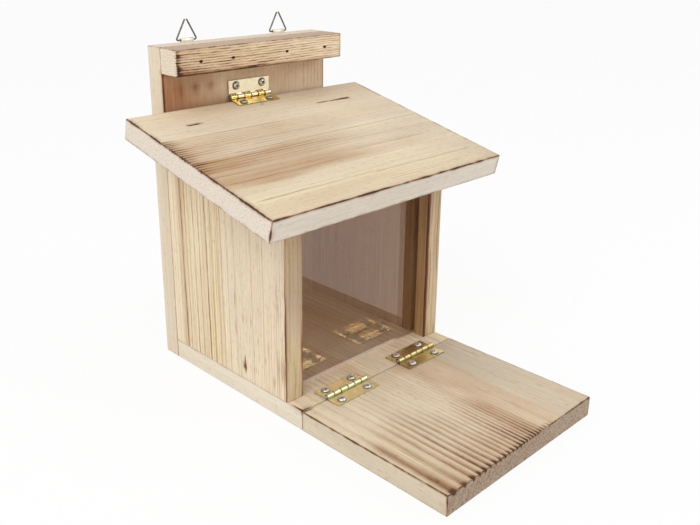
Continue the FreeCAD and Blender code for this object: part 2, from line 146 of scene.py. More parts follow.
class Sheet:
    """A node tree that is filled one node at a time."""

    def __init__(self, tree: bpy.types.NodeTree) -> None:
        """Empty the tree and keep it."""
        self.tree = tree
        self.tree.nodes.clear()

    def node(self, kind: str, settings: dict, inputs: dict, output: int | str = 0) -> Term:
        """Add a node.

        Args:
            kind: The node's type.
            settings: Its properties, set first.
            inputs: The value or the Term of each socket, by name or number.
            output: The socket that is wanted.

        Returns:
            That socket as a Term.
        """
        made = self.tree.nodes.new(kind)
        for name, value in settings.items():
            setattr(made, name, value)
        for name, value in inputs.items():
            if isinstance(value, Term):
                self.tree.links.new(value.socket, made.inputs[name])
            else:
                made.inputs[name].default_value = value
        return Term(self, made.outputs[output])

    def maths(self, operation: str, first: Term | float, second: Term | float = 0.0) -> Term:
        """Return the result of a Math node."""
        return self.node("ShaderNodeMath", {"operation": operation}, {0: first, 1: second})

    def blend(self, share: Term | float, first: Term | Colour, second: Term | Colour) -> Term:
        """Return the first colour turned into the second by a share from 0 to 1."""
        inputs = {0: share, 6: first, 7: second}
        return self.node("ShaderNodeMix", {"data_type": "RGBA"}, inputs, 2)

    def scaled(self, vector: Term, factors: Direction) -> Term:
        """Return a vector with each of its components multiplied."""
        return self.node("ShaderNodeVectorMath", {"operation": "MULTIPLY"}, {0: vector, 1: factors})

    def bright(self, colour: Term, factor: Term | float) -> Term:
        """Return a colour made lighter or darker by a factor."""
        return self.node("ShaderNodeVectorMath", {"operation": "SCALE"}, {0: colour, "Scale": factor})

    def attribute(self, name: str, output: str) -> Term:
        """Return a value that the mesh carries."""
        return self.node("ShaderNodeAttribute", {"attribute_name": name}, {}, output)

    def channels(self, name: str) -> tuple[Term, ...]:
        """Return the red, green, blue and alpha of a colour that the mesh carries."""
        colour = {"Color": self.attribute(name, "Color")}
        parts = [self.node("ShaderNodeSeparateColor", {}, colour, part) for part in ("Red", "Green", "Blue")]
        return (*parts, self.attribute(name, "Alpha"))

    def object_place(self) -> Term:
        """Return the place on the object in metres."""
        return self.node("ShaderNodeTexCoord", {}, {}, "Object")

    def noise(self, place: Term, cells: Direction, detail: float = 2.0) -> Term:
        """Return smooth noise from 0 to 1 with so many cells a metre along each axis."""
        inputs = {"Vector": self.scaled(place, cells), "Scale": 1.0, "Detail": detail}
        return self.node("ShaderNodeTexNoise", {"noise_dimensions": "3D"}, inputs)

    def bump(self, height: Term, distance: float, strength: float = 1.0) -> Term:
        """Return the normal of a surface with a height from 0 to 1, distance metres deep."""
        inputs = {"Height": height, "Distance": distance, "Strength": strength}
        return self.node("ShaderNodeBump", {}, inputs)

    def surface(self, inputs: dict) -> Term:
        """Return a Principled surface."""
        return self.node("ShaderNodeBsdfPrincipled", {}, inputs)

    def finish(self, surface: Term, kind: str = "ShaderNodeOutputMaterial") -> None:
        """Lead a surface to the tree's output."""
        output = self.tree.nodes.new(kind)
        self.tree.links.new(surface.socket, output.inputs["Surface"])


def new_material(name: str) -> tuple[bpy.types.Material, Sheet]:
    """Return an empty material and the sheet of its nodes."""
    material = bpy.data.materials.new(name)
    material.use_nodes = True
    return material, Sheet(material.node_tree)


@dataclass(frozen=True)
class FlamedWood:
    """Pine that was scorched with a flame and brushed.

    The mesh carries the growth rings' count as phase, the board's own places in metres as grain,
    marks (how toasted, how burnt, how much end grain, how bare of flame; the toast and the burn
    also carry painted shade on some faces) and hues (how strong the ring lines are, and how grey,
    rosy and yellow the wood is).

    Attributes:
        name: The material's name.
        early: The pale wood inside a ring.
        late: The line where a ring ends.
        toasted: The wood where the flame passed, and the colour of painted shade inside the box.
        scorched: The brown wood where the flame came close, and of painted shade in grooves and under the
            batten.
        burnt: The dark wood where the flame stayed.
        bare, faded: The sawn edges, and their paler or greyer patches.
        end: The end grain.
        grey, rosy, yellow: The wood's hues.
        pores: How strongly the end grain is speckled.
        end_lines: How strongly the rings show in the end grain.
        hair: How strong the hairlines along the grain are.
        streaky: How much the hues and the toast vary from streak to streak.
        fibrous: How strongly the fibres shade the wood.
    """

    name: str
    early: Colour = tone(228, 212, 182)
    late: Colour = tone(150, 116, 76)
    toasted: Colour = tone(194, 158, 116)
    scorched: Colour = tone(142, 102, 66)
    burnt: Colour = tone(60, 40, 27)
    bare: Colour = tone(229, 217, 196)
    faded: Colour = tone(222, 208, 186)
    end: Colour = tone(222, 208, 188)
    grey: Colour = tone(188, 180, 162)
    rosy: Colour = tone(212, 176, 144)
    yellow: Colour = tone(226, 210, 156)
    pores: float = 0.35
    end_lines: float = 0.1
    hair: float = 0.3
    streaky: float = 0.6
    fibrous: float = 1.0

    def wood_colour(self, sheet: Sheet, streak: Term, cloud: Term, line: Term) -> Term:
        """Return the colour of a flamed face: early wood in its hues, toast and ring lines.

        Args:
            sheet: The node tree.
            streak: Noise that is drawn out along the grain.
            cloud: Broad noise.
            line: How much of a ring's dark line shows.

        Returns:
            The colour.
        """
        _, grey, rosy, yellow = sheet.channels("hues")
        toasted, *_ = sheet.channels("marks")
        uneven = (streak.ramp(0.25, 0.75) - 0.5) * self.streaky + 0.9
        colour = sheet.blend((yellow * uneven).clipped(), self.early, self.yellow)
        colour = sheet.blend((grey * uneven).clipped(), colour, self.grey)
        colour = sheet.blend((rosy * (cloud.ramp(0.3, 0.7) * 0.6 + 0.6)).clipped(), colour, self.rosy)
        colour = sheet.blend((toasted * uneven).clipped(), colour, self.toasted)
        return sheet.blend(line.clipped(), colour, self.late)

    def make(self) -> bpy.types.Material:
        """Dress wood.

        A ring's line is the sixth power of the share of the ring that has passed, broken up
        by streaks along the grain. Hairlines and short dark dashes follow the grain. Bare and
        end-grain wood and the scorch, brown and then dark, are laid over that.

        Returns:
            The material.
        """
        material, sheet = new_material(self.name)
        grain = sheet.attribute("grain", "Vector")
        phase = sheet.attribute("phase", "Fac")
        _, burnt, end, bare = sheet.channels("marks")
        strength, *_ = sheet.channels("hues")

        streak = sheet.noise(grain, (14.0, 900.0, 900.0), 4.0)
        fibre = sheet.noise(grain, (120.0, 4200.0, 4200.0))
        hairline = sheet.noise(grain, (9.0, 1500.0, 1500.0), 1.0).ramp(0.54, 0.70)
        resin = sheet.noise(grain, (150.0, 2000.0, 2000.0), 0.0).ramp(0.68, 0.80)
        cloud = sheet.noise(grain, (9.0, 60.0, 60.0))
        pore = sheet.noise(grain, (1000.0, 1000.0, 1000.0), 3.0)

        age = (phase + (streak - 0.5) * 0.3).fract()
        rings = age ** 6.0 * strength * (streak.ramp(0.2, 0.8) + 0.3)
        line = rings + hairline * self.hair * (cloud.ramp(0.3, 0.7) * 0.7 + 0.4)
        colour = self.wood_colour(sheet, streak, cloud, line)
        patched = sheet.blend(cloud.ramp(0.38, 0.62), self.bare, self.faded)
        bare_colour = sheet.blend((line * 0.4).clipped(), patched, self.late)
        colour = sheet.blend((bare * 0.94).clipped(), colour, bare_colour)
        speckle = pore.ramp(0.5, 0.66) * self.pores + age ** 3.0 * self.end_lines
        end_colour = sheet.blend(speckle.clipped(), self.end, self.scorched)
        colour = sheet.blend(end.clipped(), colour, end_colour)
        colour = sheet.blend((resin * (1 - end) * 0.45).clipped(), colour, self.scorched)
        # the burnt mark also carries painted shade, laid on as scorch
        char = burnt * (streak.ramp(0.2, 0.8) * 0.5 + 0.75)
        colour = sheet.blend((char * 1.5).clipped(), colour, self.scorched)
        colour = sheet.blend(char.ramp(0.5, 1.0), colour, self.burnt)
        shade = ((fibre - 0.5) * 0.34 + (streak - 0.5) * 0.28) * self.fibrous * (1 - end * 0.7)
        shade = shade + (cloud - 0.5) * 0.12 - (pore - 0.5) * end * self.pores + 1.0
        colour = sheet.bright(colour, shade)

        height = fibre * 0.6 + streak * 0.3 + line * 0.4 - pore * end * 0.8
        sheet.finish(sheet.surface({
            "Base Color": colour,
            "Roughness": fibre * 0.16 + 0.55 - line * 0.08,
            "Specular IOR Level": 0.3,
            "Normal": sheet.bump(height, 0.00008, 0.9),
        }))
        return material


@dataclass(frozen=True)
class Metal:
    """Rolled or plated metal with fine rolling marks, dull spots, and painted shade with some soil.

    The mesh may carry shade_and_soil: how much painted shade, with some soil, darkens the metal.

    Attributes:
        name: The material's name.
        clean: The bright metal.
        dull: The metal where it has tarnished.
        rough: Its roughness where it is bright.
        spread: How much rougher it is where it is dull.
        marks: How many rolling marks a metre it has along X, Y and Z.
        spots: How many dull spots a metre it has.
        tarnish: How much of the dull metal shows.
        shade_and_soil_colour: The dark colour of the painted shade and soil.
    """

    name: str
    clean: Colour
    dull: Colour
    rough: float = 0.3
    spread: float = 0.2
    marks: Direction = (90.0, 3800.0, 3800.0)
    spots: float = 420.0
    tarnish: float = 0.6
    shade_and_soil_colour: Colour = tone(58, 46, 34)

    def make(self) -> bpy.types.Material:
        """Dress metal: bright and rolled, duller in spots, and dark where the mesh carries painted shade and
        soil.

        Returns:
            The material.
        """
        material, sheet = new_material(self.name)
        place = sheet.object_place()
        rolled = sheet.noise(place, self.marks)
        spot = sheet.noise(place, (self.spots, self.spots, self.spots), 3.0).ramp(0.42, 0.72)
        # painted shade: the carried shade_and_soil darkens the colour and makes the metal duller and rougher
        shade_and_soil = (sheet.attribute("shade_and_soil", "Fac") * (spot * 0.3 + 0.85)).clipped()
        colour = sheet.blend((spot * self.tarnish).clipped(), self.clean, self.dull)
        colour = sheet.bright(colour, (rolled - 0.5) * 0.08 + 1.0)
        sheet.finish(sheet.surface({
            "Base Color": sheet.blend(shade_and_soil, colour, self.shade_and_soil_colour),
            "Metallic": 1 - shade_and_soil * 0.7,
            "Roughness": (rolled - 0.5) * 0.06 + spot * self.spread + shade_and_soil * 0.3 + self.rough,
            "Normal": sheet.bump(rolled, 0.00002, 0.2),
        }))
        return material


@dataclass(frozen=True)
class ClearSheet:
    """Clear acrylic that mirrors a little, with frosted sawn edges. The mesh carries the frost.

    Attributes:
        name: The material's name.
        painted_reflection_tint: A painted reflection, the colour that stands in for what it mirrors.
        frost: The colour of its sawn edges.
        facing: How much of the light it mirrors where it is looked at squarely.
    """

    name: str
    painted_reflection_tint: Colour = tone(213, 184, 168)
    frost: Colour = tone(255, 246, 232)
    facing: float = 0.17

    def make(self) -> bpy.types.Material:
        """Dress the sheet.

        The share of light that it mirrors is f + (1 - f) * (1 - cos a) ** 5 at the angle a
        from square, and the rest goes straight through.

        Returns:
            The material.
        """
        material, sheet = new_material(self.name)
        frost = sheet.attribute("frost", "Fac")
        place = sheet.object_place()
        smear = sheet.noise(place, (45.0, 45.0, 30.0), 3.0).ramp(0.45, 0.85)
        saw = sheet.noise(place, (900.0, 2400.0, 900.0))
        slant = sheet.node("ShaderNodeLayerWeight", {}, {"Blend": 0.5}, "Facing")
        mirrored = slant ** 5.0 * (1 - self.facing) + self.facing
        sawn = (frost * (saw * 0.5 + 0.6)).clipped()
        # painted reflection: the tint colours what the sheet mirrors
        sheet.finish(sheet.surface({
            "Base Color": sheet.blend(sawn, self.painted_reflection_tint, self.frost),
            "Metallic": (1 - sawn * 2.0).clipped(),
            "Roughness": smear * 0.03 + sawn * 0.45 + 0.01,
            "Alpha": (mirrored + sawn * 0.85).clipped(),
            "Normal": sheet.bump(saw * sawn, 0.00005),
        }))
        return material


class GrainNoise:
    """Seeded noise on a square lattice, smoothed between its points."""

    SIDE = 64

    def __init__(self, seed: int) -> None:
        """Draw the lattice's values."""
        self.values = np.random.default_rng(seed).uniform(-1.0, 1.0, (self.SIDE, self.SIDE))

    def __call__(self, first: Array, second: Array | float = 0.0) -> Array:
        """Mix the noise from the lattice's four points round each place.

        They are mixed by s * s * (3 - 2 * s) of each coordinate's share s of the cell.

        Args:
            first, second: The places along the lattice's two sides, counted in cells.

        Returns:
            The noise, from -1 to 1.
        """
        first, second = np.broadcast_arrays(np.asarray(first, float), second)
        low_first = np.floor(first).astype(int)
        low_second = np.floor(second).astype(int)
        across = first - low_first
        along = second - low_second
        across = across * across * (3 - 2 * across)
        along = along * along * (3 - 2 * along)

        def corner(step_first: int, step_second: int) -> Array:
            """Return the lattice's value at one corner of each cell."""
            return self.values[(low_first + step_first) % self.SIDE,
                               (low_second + step_second) % self.SIDE]

        near = corner(0, 0) * (1 - across) + corner(1, 0) * across
        far = corner(0, 1) * (1 - across) + corner(1, 1) * across
        return near * (1 - along) + far * along


def ramp(value: Array, low: Array | float, high: Array | float) -> Array:
    """Return s * s * (3 - 2 * s), where s runs from 0 at low to 1 at high."""
    share = np.clip((value - low) / (high - low), 0.0, 1.0)
    return share * share * (3 - 2 * share)


def fade(value: Array, low: Array | float, high: Array | float) -> Array:
    """Return 1 less the ramp from low to high."""
    return 1 - ramp(value, low, high)


def window(value: Array, low: float, high: float, soft: float) -> Array:
    """Return 1 between low and high, and 0 a soft distance outside them."""
    return ramp(value, low - soft, low) * fade(value, high, high + soft)


def hump(value: Array, middle: Array | float, width: Array | float) -> Array:
    """Return exp(-((value - middle) / width) ** 2)."""
    return np.exp(-((value - middle) / width) ** 2)


def node_box(node: str) -> tuple[Array, Array]:
    """Return a node's lowest and highest corners in millimetres."""
    low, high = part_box(node)
    return np.array(low) / MM, np.array(high) / MM


def make_piece(name: str, points: Array, faces: Sequence, marks: dict[str, Array]) -> bpy.types.Object:
    """Make a smooth-shaded object from points in millimetres.

    Args:
        name: The piece's name.
        points: One row of X, Y and Z for each vertex.
        faces: Arrays of vertex numbers, one row for each face.
        marks: Values that the mesh carries, with 1, 3 or 4 columns, by name.

    Returns:
        The object, which sits at the origin.
    """
    mesh = bpy.data.meshes.new(name)
    rows = [row for group in faces for row in group.tolist()]
    mesh.from_pydata((points * MM).tolist(), [], rows)
    kinds = {1: ("FLOAT", "value"), 3: ("FLOAT_VECTOR", "vector"), 4: ("FLOAT_COLOR", "color")}
    for key, values in marks.items():
        columns = 1 if values.ndim == 1 else values.shape[1]
        kind, channel = kinds[columns]
        carried = mesh.attributes.new(key, kind, "POINT")
        carried.data.foreach_set(channel, values.astype(np.float32).ravel())
    mesh.polygons.foreach_set("use_smooth", np.ones(len(mesh.polygons), bool))
    mesh.update()
    piece = bpy.data.objects.new(name, mesh)
    bpy.context.scene.collection.objects.link(piece)
    return piece


def settle(piece: bpy.types.Object, finish: bpy.types.Material, body: Body, node: str) -> None:
    """Dress a finished piece and report it.

    Args:
        piece: The piece.
        finish: Its material.
        body: The body that it rides on.
        node: The node that it stands for.
    """
    piece.data.materials.append(finish)
    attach(piece, body.value)
    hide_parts(node)
    LOG.info("%s: %d faces, rides on %s", piece.name, len(piece.data.polygons), body.value)


def quads(grid: Array) -> Array:
    """Return the four vertex numbers of each cell of a grid of vertex numbers."""
    corners = [grid[:-1, :-1], grid[1:, :-1], grid[1:, 1:], grid[:-1, 1:]]
    return np.stack(corners, axis=-1).reshape(-1, 4)


def box_shell(stations: Sequence[Array]) -> tuple[Array, Array]:
    """Return the points and the outward faces of a box's skin.

    Args:
        stations: The grid's positions along each of the box's three edges.

    Returns:
        The points as rows of (u, v, w), and the faces as rows of four vertex numbers.
    """
    counts = tuple(len(line) for line in stations)
    grid = np.arange(math.prod(counts)).reshape(counts)
    sides = [grid[:, :, -1], grid[:, ::-1, 0], grid[-1], grid[0, ::-1], grid[:, 0], grid[::-1, -1]]
    faces = np.concatenate([quads(side) for side in sides])
    used, faces = np.unique(faces, return_inverse=True)
    places = np.unravel_index(used, counts)
    points = np.stack([line[place] for line, place in zip(stations, places)], axis=-1)
    return points, faces.reshape(-1, 4)


def softened(points: Array, size: Array, radius: float, axes: Sequence[int] = (0, 1, 2)) -> Array:
    """Round a box's edges, or only those along the axes that are left out.

    A point's offset d from the box shrunk by the radius becomes d * max(|d|) / length(d),
    which turns each square corner into an arc and leaves the flat faces as they are.

    Args:
        points: Points on the box's skin.
        size: The box's size.
        radius: The radius of its edges.
        axes: The axes that are rounded with each other.

    Returns:
        The moved points.
    """
    chosen = list(axes)
    inner = np.clip(points[:, chosen], radius, size[chosen] - radius)
    offset = points[:, chosen] - inner
    longest = np.abs(offset).max(axis=1, keepdims=True)
    length = np.maximum(np.linalg.norm(offset, axis=1, keepdims=True), 1e-9)
    moved = points.copy()
    moved[:, chosen] = inner + offset * longest / length
    return moved


def stations(length: float, step: float, close: Sequence[float] = (), sharp: Sequence[float] = ()) -> Array:
    """Return a grid's positions from 0 to length.

    Args:
        length: The whole length.
        step: The distance between positions away from the ends.
        close: Places round which the positions stand closer.
        sharp: Places that have two positions, one right beside the other, for a steep wall.

    Returns:
        The positions in rising order.
    """
    ends = np.array([0.0, 0.12, 0.26, 0.42, 0.62, 0.9, 1.4])
    inside = length - 2 * ends[-1]
    even = ends[-1] + np.linspace(0.0, inside, max(2, round(inside / step) + 1))
    spread = np.linspace(-2.2, 2.2, 15)
    lines = [ends, length - ends, even] + [place + spread for place in close]
    every = np.concatenate(lines)
    for place in sharp:
        every = every[np.abs(every - place) > 0.08]
    walls = [place + side for place in sharp for side in (-0.02, 0.02)]
    every = np.unique(np.round(np.concatenate([every, walls]), 4))
    every = every[(every >= 0) & (every <= length)]
    keep = np.append(True, np.diff(every) > 0.03)
    return every[keep]


class RingTable:
    """How a board's growth rings follow each other across it."""

    def __init__(self, places: Sequence[float], pitches: Sequence[float], first: float = 0.0,
                 uneven: float = 0.0, seed: int = 0) -> None:
        """Add up the rings: their count at v is the integral of 1 / pitch from first to v.

        Args:
            places: Places across the board.
            pitches: The rings' pitch at each place.
            first: A place where a ring ends.
            uneven: How much the pitch varies from ring to ring.
            seed: The seed of that.
        """
        self.fine = np.linspace(-60.0, 300.0, 3601)
        self.pitch = np.interp(self.fine, places, pitches)
        self.pitch *= 1 + uneven * GrainNoise(seed)(self.fine / (1.3 * self.pitch.mean()))
        count = np.cumsum(1.0 / self.pitch) * (self.fine[1] - self.fine[0])
        self.count = count - np.interp(first, self.fine, count)

    def phase(self, across: Array) -> Array:
        """Return the count of rings at places across the board."""
        return np.interp(across, self.fine, self.count)

    def width(self, across: Array) -> Array:
        """Return the rings' pitch at places across the board."""
        return np.interp(across, self.fine, self.pitch)


@dataclass(frozen=True)
class Stroke:
    """A dark line, crack or knot along the grain.

    Attributes:
        start, end: Where it lies along the grain.
        across: Where it starts across the grain.
        width: Its width.
        strength: How dark it is.
        drift: How far it drifts across the grain towards its end.
        taper: The share of its width and strength that is left at its start, or if it is
            negative, at its end.
        soft: How far its ends fade out.
        cut: How deep it is.
    """

    start: float
    end: float
    across: float
    width: float
    strength: float
    drift: float = 0.0
    taper: float = 1.0
    soft: float = 9.0
    cut: float = 0.0

    def mask(self, along: Array, across: Array, waver: Array | float) -> Array:
        """Draw the stroke as exp(-((v - middle) / half) ** 2), where the middle drifts with u.

        Args:
            along, across: The places on the face.
            waver: How far its middle is off its way. A crack wavers a quarter as much.

        Returns:
            1 in its middle and 0 away from it.
        """
        share = np.clip((along - self.start) / (self.end - self.start), 0.0, 1.0)
        grown = share if self.taper > 0 else 1 - share
        part = abs(self.taper) + (1 - abs(self.taper)) * grown
        middle = self.across + self.drift * share + waver * (0.25 if self.cut else 1.0)
        ends = window(along, self.start, self.end, self.soft)
        return part * ends * hump(across, middle, self.width / 2 * part)


@dataclass
class Placing:
    """Where a part lies: its origin, its three directions as rows, and its size."""

    origin: Array
    axes: Array
    size: Array

    @classmethod
    def of_box(cls, node: str, along: Direction, across: Direction, out: Direction) -> "Placing":
        """Return the placing of a node that is square to the axes.

        Args:
            node: The node's name.
            along, across, out: The directions of u, v and w.

        Returns:
            The placing, whose origin is the corner that the directions lead away from.
        """
        low, high = node_box(node)
        axes = np.array([along, across, out], float)
        origin = np.where(axes.sum(axis=0) > 0, low, high)
        return cls(origin, axes, np.abs(axes) @ (high - low))

    @classmethod
    def of_slope(cls, node: str, slope: float, length: float, thick: float) -> "Placing":
        """Return the placing of a board that slopes down to the front.

        Args:
            node: The node's name, whose box has the board's middle.
            slope: The board's angle.
            length, thick: Its size down the slope and its thickness.

        Returns:
            The placing: u runs along X, v down the slope and w out of its top.
        """
        low, high = node_box(node)
        axes = np.array([
            (1.0, 0.0, 0.0),
            (0.0, -math.cos(slope), -math.sin(slope)),
            (0.0, -math.sin(slope), math.cos(slope)),
        ])
        size = np.array([high[0] - low[0], length, thick])
        return cls((low + high) / 2 - size / 2 @ axes, axes, size)

    def out(self, points: Array) -> Array:
        """Return points of the part as points in space."""
        return self.origin + points @ self.axes

    def is_mirrored(self) -> bool:
        """Return whether the three directions are left-handed."""
        return np.linalg.det(self.axes) < 0


class Side(Enum):
    """A board's two faces."""

    OUTER = "outer"
    INNER = "inner"


@dataclass(frozen=True)
class NailRow:
    """Nails whose heads lie sunk in one face of a board.

    Attributes:
        side: The face.
        places: Where each head lies, as (along, across).
        radius: The radius of the dimple round a head.
        depth: The dimple's depth.
        closing: How many times narrower it is across the grain.
    """

    side: Side
    places: tuple[tuple[float, float], ...]
    radius: float = 1.35
    depth: float = 0.62
    closing: float = 1.0

    def mask(self, u: Array, v: Array) -> Array:
        """Return 1 over each nail's head and 0 away from it."""
        reach = [np.hypot(u - along, self.closing * (v - across)) for along, across in self.places]
        return fade(np.min(reach, axis=0), self.radius - 0.1, self.radius + 0.35)


@dataclass(frozen=True)
class Paint:
    """How a board's skin is coloured. Each value goes from 0 to 1.

    Attributes:
        lines: How strong the ring lines are.
        grey, rosy, yellow: The wood's hues.
        toasted: How toasted it is, with painted shade on the faces inside the box.
        burnt: How burnt it is, apart from its edges and strokes, with painted shade in the side boards'
            grooves and under the batten.
    """

    lines: Array | float
    grey: Array
    rosy: Array
    yellow: Array
    toasted: Array
    burnt: Array


@dataclass
class Board(ABC):
    """A flamed board, whose skin is one closed grid with its relief in the mesh.

    Attributes:
        node: The node that it stands for.
        body: The body that it rides on.
        finish: Its wood.
        place: Where it lies.
        rings: Its growth rings.
        seed: The seed of its own unevenness.
        steps: The grid's steps along, across and through the board.
        arris: The radius of its edges.
        singe: How dark its edges are.
        singe_reach: How far the dark reaches from an edge.
        singed: The share of that at the edges of each face, in the order of u at its start
            and end, v at its start and end, the inner face and the outer face.
        lean: How far the rings shift across the board for each millimetre of its thickness.
        strokes: The dark lines, cracks and knots of its outer face.
        nails: The nails in it whose heads are seen.
        noise: Its own unevenness.
        u, v, w: The places of its skin's points before they are cut.
        faces: Its skin's faces, as rows of four vertex numbers.
        phase: The count of growth rings at each point.
        valley: 1 in the groove where a ring ends, and 0 away from it.
    """

    node: str
    body: Body
    finish: FlamedWood
    place: Placing
    rings: RingTable
    seed: int
    steps: tuple[float, float, float] = (3.0, 0.45, 1.0)
    arris: float = 0.7
    singe: float = 0.8
    singe_reach: float = 0.52
    singed: tuple[float, float, float, float, float, float] = (1.0, 1.0, 1.0, 1.0, 0.5, 1.0)
    lean: float = 0.8
    strokes: tuple[Stroke, ...] = ()
    nails: NailRow | None = None
    noise: GrainNoise = field(init=False)
    u: Array = field(init=False)
    v: Array = field(init=False)
    w: Array = field(init=False)
    faces: Array = field(init=False)
    phase: Array = field(init=False)
    valley: Array = field(init=False)

    def __post_init__(self) -> None:
        """Draw the board's own noise and lay out its skin.

        The rings are counted at v, shifted by the lean and the waves. The valley is
        (1 - |sin(pi * phase)|) ** 1.4.
        """
        self.noise = GrainNoise(self.seed)
        sharp, faces = box_shell(self.grid())
        self.faces = faces[:, ::-1] if self.place.is_mirrored() else faces
        self.u, self.v, self.w = softened(sharp, self.place.size, self.arris).T
        depth = self.place.size[2] - self.w
        self.phase = self.rings.phase(self.v + self.lean * depth + self.waves())
        self.valley = (1 - np.abs(np.sin(np.pi * self.phase))) ** 1.4

    def walls(self) -> tuple[float, ...]:
        """Return the places across the board that have a steep wall."""
        return ()

    def grid(self) -> list[Array]:
        """Space the grid, closer round nails and cracks.

        Returns:
            The stations along u, v and w.
        """
        cracks = [stroke.across for stroke in self.strokes if stroke.cut]
        heads = self.nails.places if self.nails else ()
        along, across, through = self.place.size
        return [
            stations(along, self.steps[0], [place for place, _ in heads]),
            stations(across, self.steps[1], cracks + [place for _, place in heads], self.walls()),
            stations(through, self.steps[2]),
        ]

    def waves(self) -> Array:
        """Return how far the rings wander across the board."""
        return 0.9 * self.noise(self.u / 55, self.v / 70) + 0.22 * self.noise(self.u / 13 + 9, self.v / 16)

    def outward(self, low: float, high: float) -> Array:
        """Return a step from 0 to 1 between two shares of the way to the outer face."""
        return ramp(self.w / self.place.size[2], low, high)

    def upper(self) -> Array:
        """Return how much of the flame's work shows: all on the outer face, little inside."""
        return 0.2 + 0.8 * self.outward(0.0, 0.5)

    def relief(self) -> Array:
        """Return how deep the brush has cut the outer face."""
        return 0.07 * self.valley + 0.02 * (1 + self.noise(self.u / 9, self.v / 0.9))

    def inner_relief(self) -> Array:
        """Return how deep the inner face is cut."""
        return 0.05 * self.valley + 0.02 * (1 + self.noise(self.u / 9 + 30, self.v / 0.9))

    def hues(self) -> tuple[Array, Array, Array]:
        """Spread the plain wood's hues in long patches along the grain.

        Returns:
            How grey, rosy and yellow it is.
        """
        u, v = self.u, self.v
        grey = 0.35 * ramp(self.noise(u / 75 + 5, v / 7), -0.1, 0.9)
        rosy = 0.30 * ramp(self.noise(u / 60 + 15, v / 9), 0.0, 0.9)
        yellow = 0.35 * ramp(self.noise(u / 80 + 25, v / 6), -0.1, 0.9)
        return grey, rosy, yellow

    @abstractmethod
    def paint(self) -> Paint:
        """Return how the board is coloured."""

    def edge_lines(self) -> Array | float:
        """Return how burnt the lines on the sawn edges are."""
        return 0.0

    def struck(self) -> Array:
        """Draw the strokes on the outer face, wavering and uneven.

        Returns:
            How burnt they are.
        """
        u, v = self.u, self.v
        waver = 0.35 * self.noise(u / 14 + 7, 3.3) + 0.12 * self.noise(u / 3.1, 8.3)
        total = np.zeros(u.shape)
        for stroke in self.strokes:
            total += stroke.strength * stroke.mask(u, v, waver)
        return total * self.outward(0.85, 1.0) * (0.8 + 0.35 * self.noise(u / 7, v / 0.8))

    def edges(self) -> Array:
        """Singe the edges.

        With d the second smallest distance to the six faces, it is exp(-(d / reach) ** 2)
        times the shares of the two nearest faces. The reach and strength waver on the way.

        Returns:
            How singed each point is.
        """
        u, v, w = self.u, self.v, self.w
        along, across, through = self.place.size
        faces = np.stack([u, along - u, v, across - v, w, through - w])
        order = np.argsort(faces, axis=0)
        second = np.take_along_axis(faces, order[1:2], axis=0)[0]
        shares = np.array(self.singed)
        share = shares[order[0]] * shares[order[1]]
        waver = self.noise((u + w) / 6 + 3, (v - w) / 5) + 0.5 * self.noise((u + v) / 1.7, w / 4)
        reach = self.singe_reach * (1 + 0.35 * waver)
        return self.singe * share * (0.95 + 0.3 * waver) * np.exp(-(second / reach) ** 2)

    def marks(self) -> dict[str, Array]:
        """Gather what the mesh carries for the wood's finish.

        Returns:
            The values of each point, by the attribute's name.
        """
        u, v, w = self.u, self.v, self.w
        along, across, _ = self.place.size
        end = hump(np.minimum(u, along - u), 0, 0.45)
        bare = hump(np.minimum(v, across - v), 0, 0.5) * (1 - end)
        paint = self.paint()
        burnt = paint.burnt * (1 - 0.85 * end) * (1 - 0.8 * bare)
        burnt = np.maximum(burnt, 0) + self.struck() + self.edge_lines()
        if self.nails:
            outer = self.outward(0.6, 0.9)
            on_face = outer if self.nails.side is Side.OUTER else 1 - outer
            burnt = np.maximum(burnt, self.nails.mask(u, v) * on_face)
        burnt = np.clip(np.maximum(burnt, self.edges()), 0, 1)
        own = 0.5 + 0.5 * self.noise(np.round(self.phase) * 5.37 + 0.4, u / 48)
        strength = paint.lines * (0.35 + 1.1 * own ** 2)
        hues = np.stack([strength, paint.grey, paint.rosy, paint.yellow], axis=-1)
        offset = np.array([0.37, 0.53, 0.71]) * self.seed
        return {
            "phase": self.phase,
            "grain": np.stack([u, v, w], axis=-1) * MM + offset,
            "marks": np.stack([np.clip(paint.toasted, 0, 1), burnt, end, bare], axis=-1),
            "hues": np.clip(hues, 0, 1),
        }

    def cuts(self) -> tuple[Array, Array]:
        """Work out how deep the skin is cut, cracks and nails included.

        Returns:
            The cut of the outer face and that of the inner face.
        """
        outer, inner = self.relief(), self.inner_relief()
        for stroke in self.strokes:
            outer = outer + stroke.cut * stroke.mask(self.u, self.v, 0.0)
        if self.nails:
            dimple = self.nails.mask(self.u, self.v)
            if self.nails.side is Side.OUTER:
                outer = outer * (1 - dimple) + self.nails.depth * dimple
            else:
                inner = inner * (1 - dimple) + self.nails.depth * dimple
        return outer, inner

    def shaped(self, height: Array) -> Array:
        """Make the sawn edges uneven.

        Args:
            height: The points' heights.

        Returns:
            The points, as rows of (u, v, w).
        """
        u, v, w = self.u, self.v, self.w
        along, across, _ = self.place.size
        saw = 0.05 * self.noise(u / 7 + 17, w / 1.3)
        rough = 0.05 * self.noise(v / 1.1 + 5, w / 1.1)
        from_side = np.exp(-v / 2.0) - np.exp(-(across - v) / 2.0)
        from_end = np.exp(-u / 1.5) - np.exp(-(along - u) / 1.5)
        return np.stack([u + (0.05 + rough) * from_end, v + (0.05 + saw) * from_side, height], axis=-1)

    def build(self) -> None:
        """Make the board and dress it.

        A point at height w of a board T thick sinks by the outer cut * w / T and rises by
        the inner cut * (1 - w / T).
        """
        outer, inner = self.cuts()
        share = np.clip(self.w / self.place.size[2], 0, 1)
        points = self.shaped(self.w - outer * share + inner * (1 - share))
        piece = make_piece(f"flamed_{self.node}", self.place.out(points), [self.faces], self.marks())
        settle(piece, self.finish.make(), self.body, self.node)


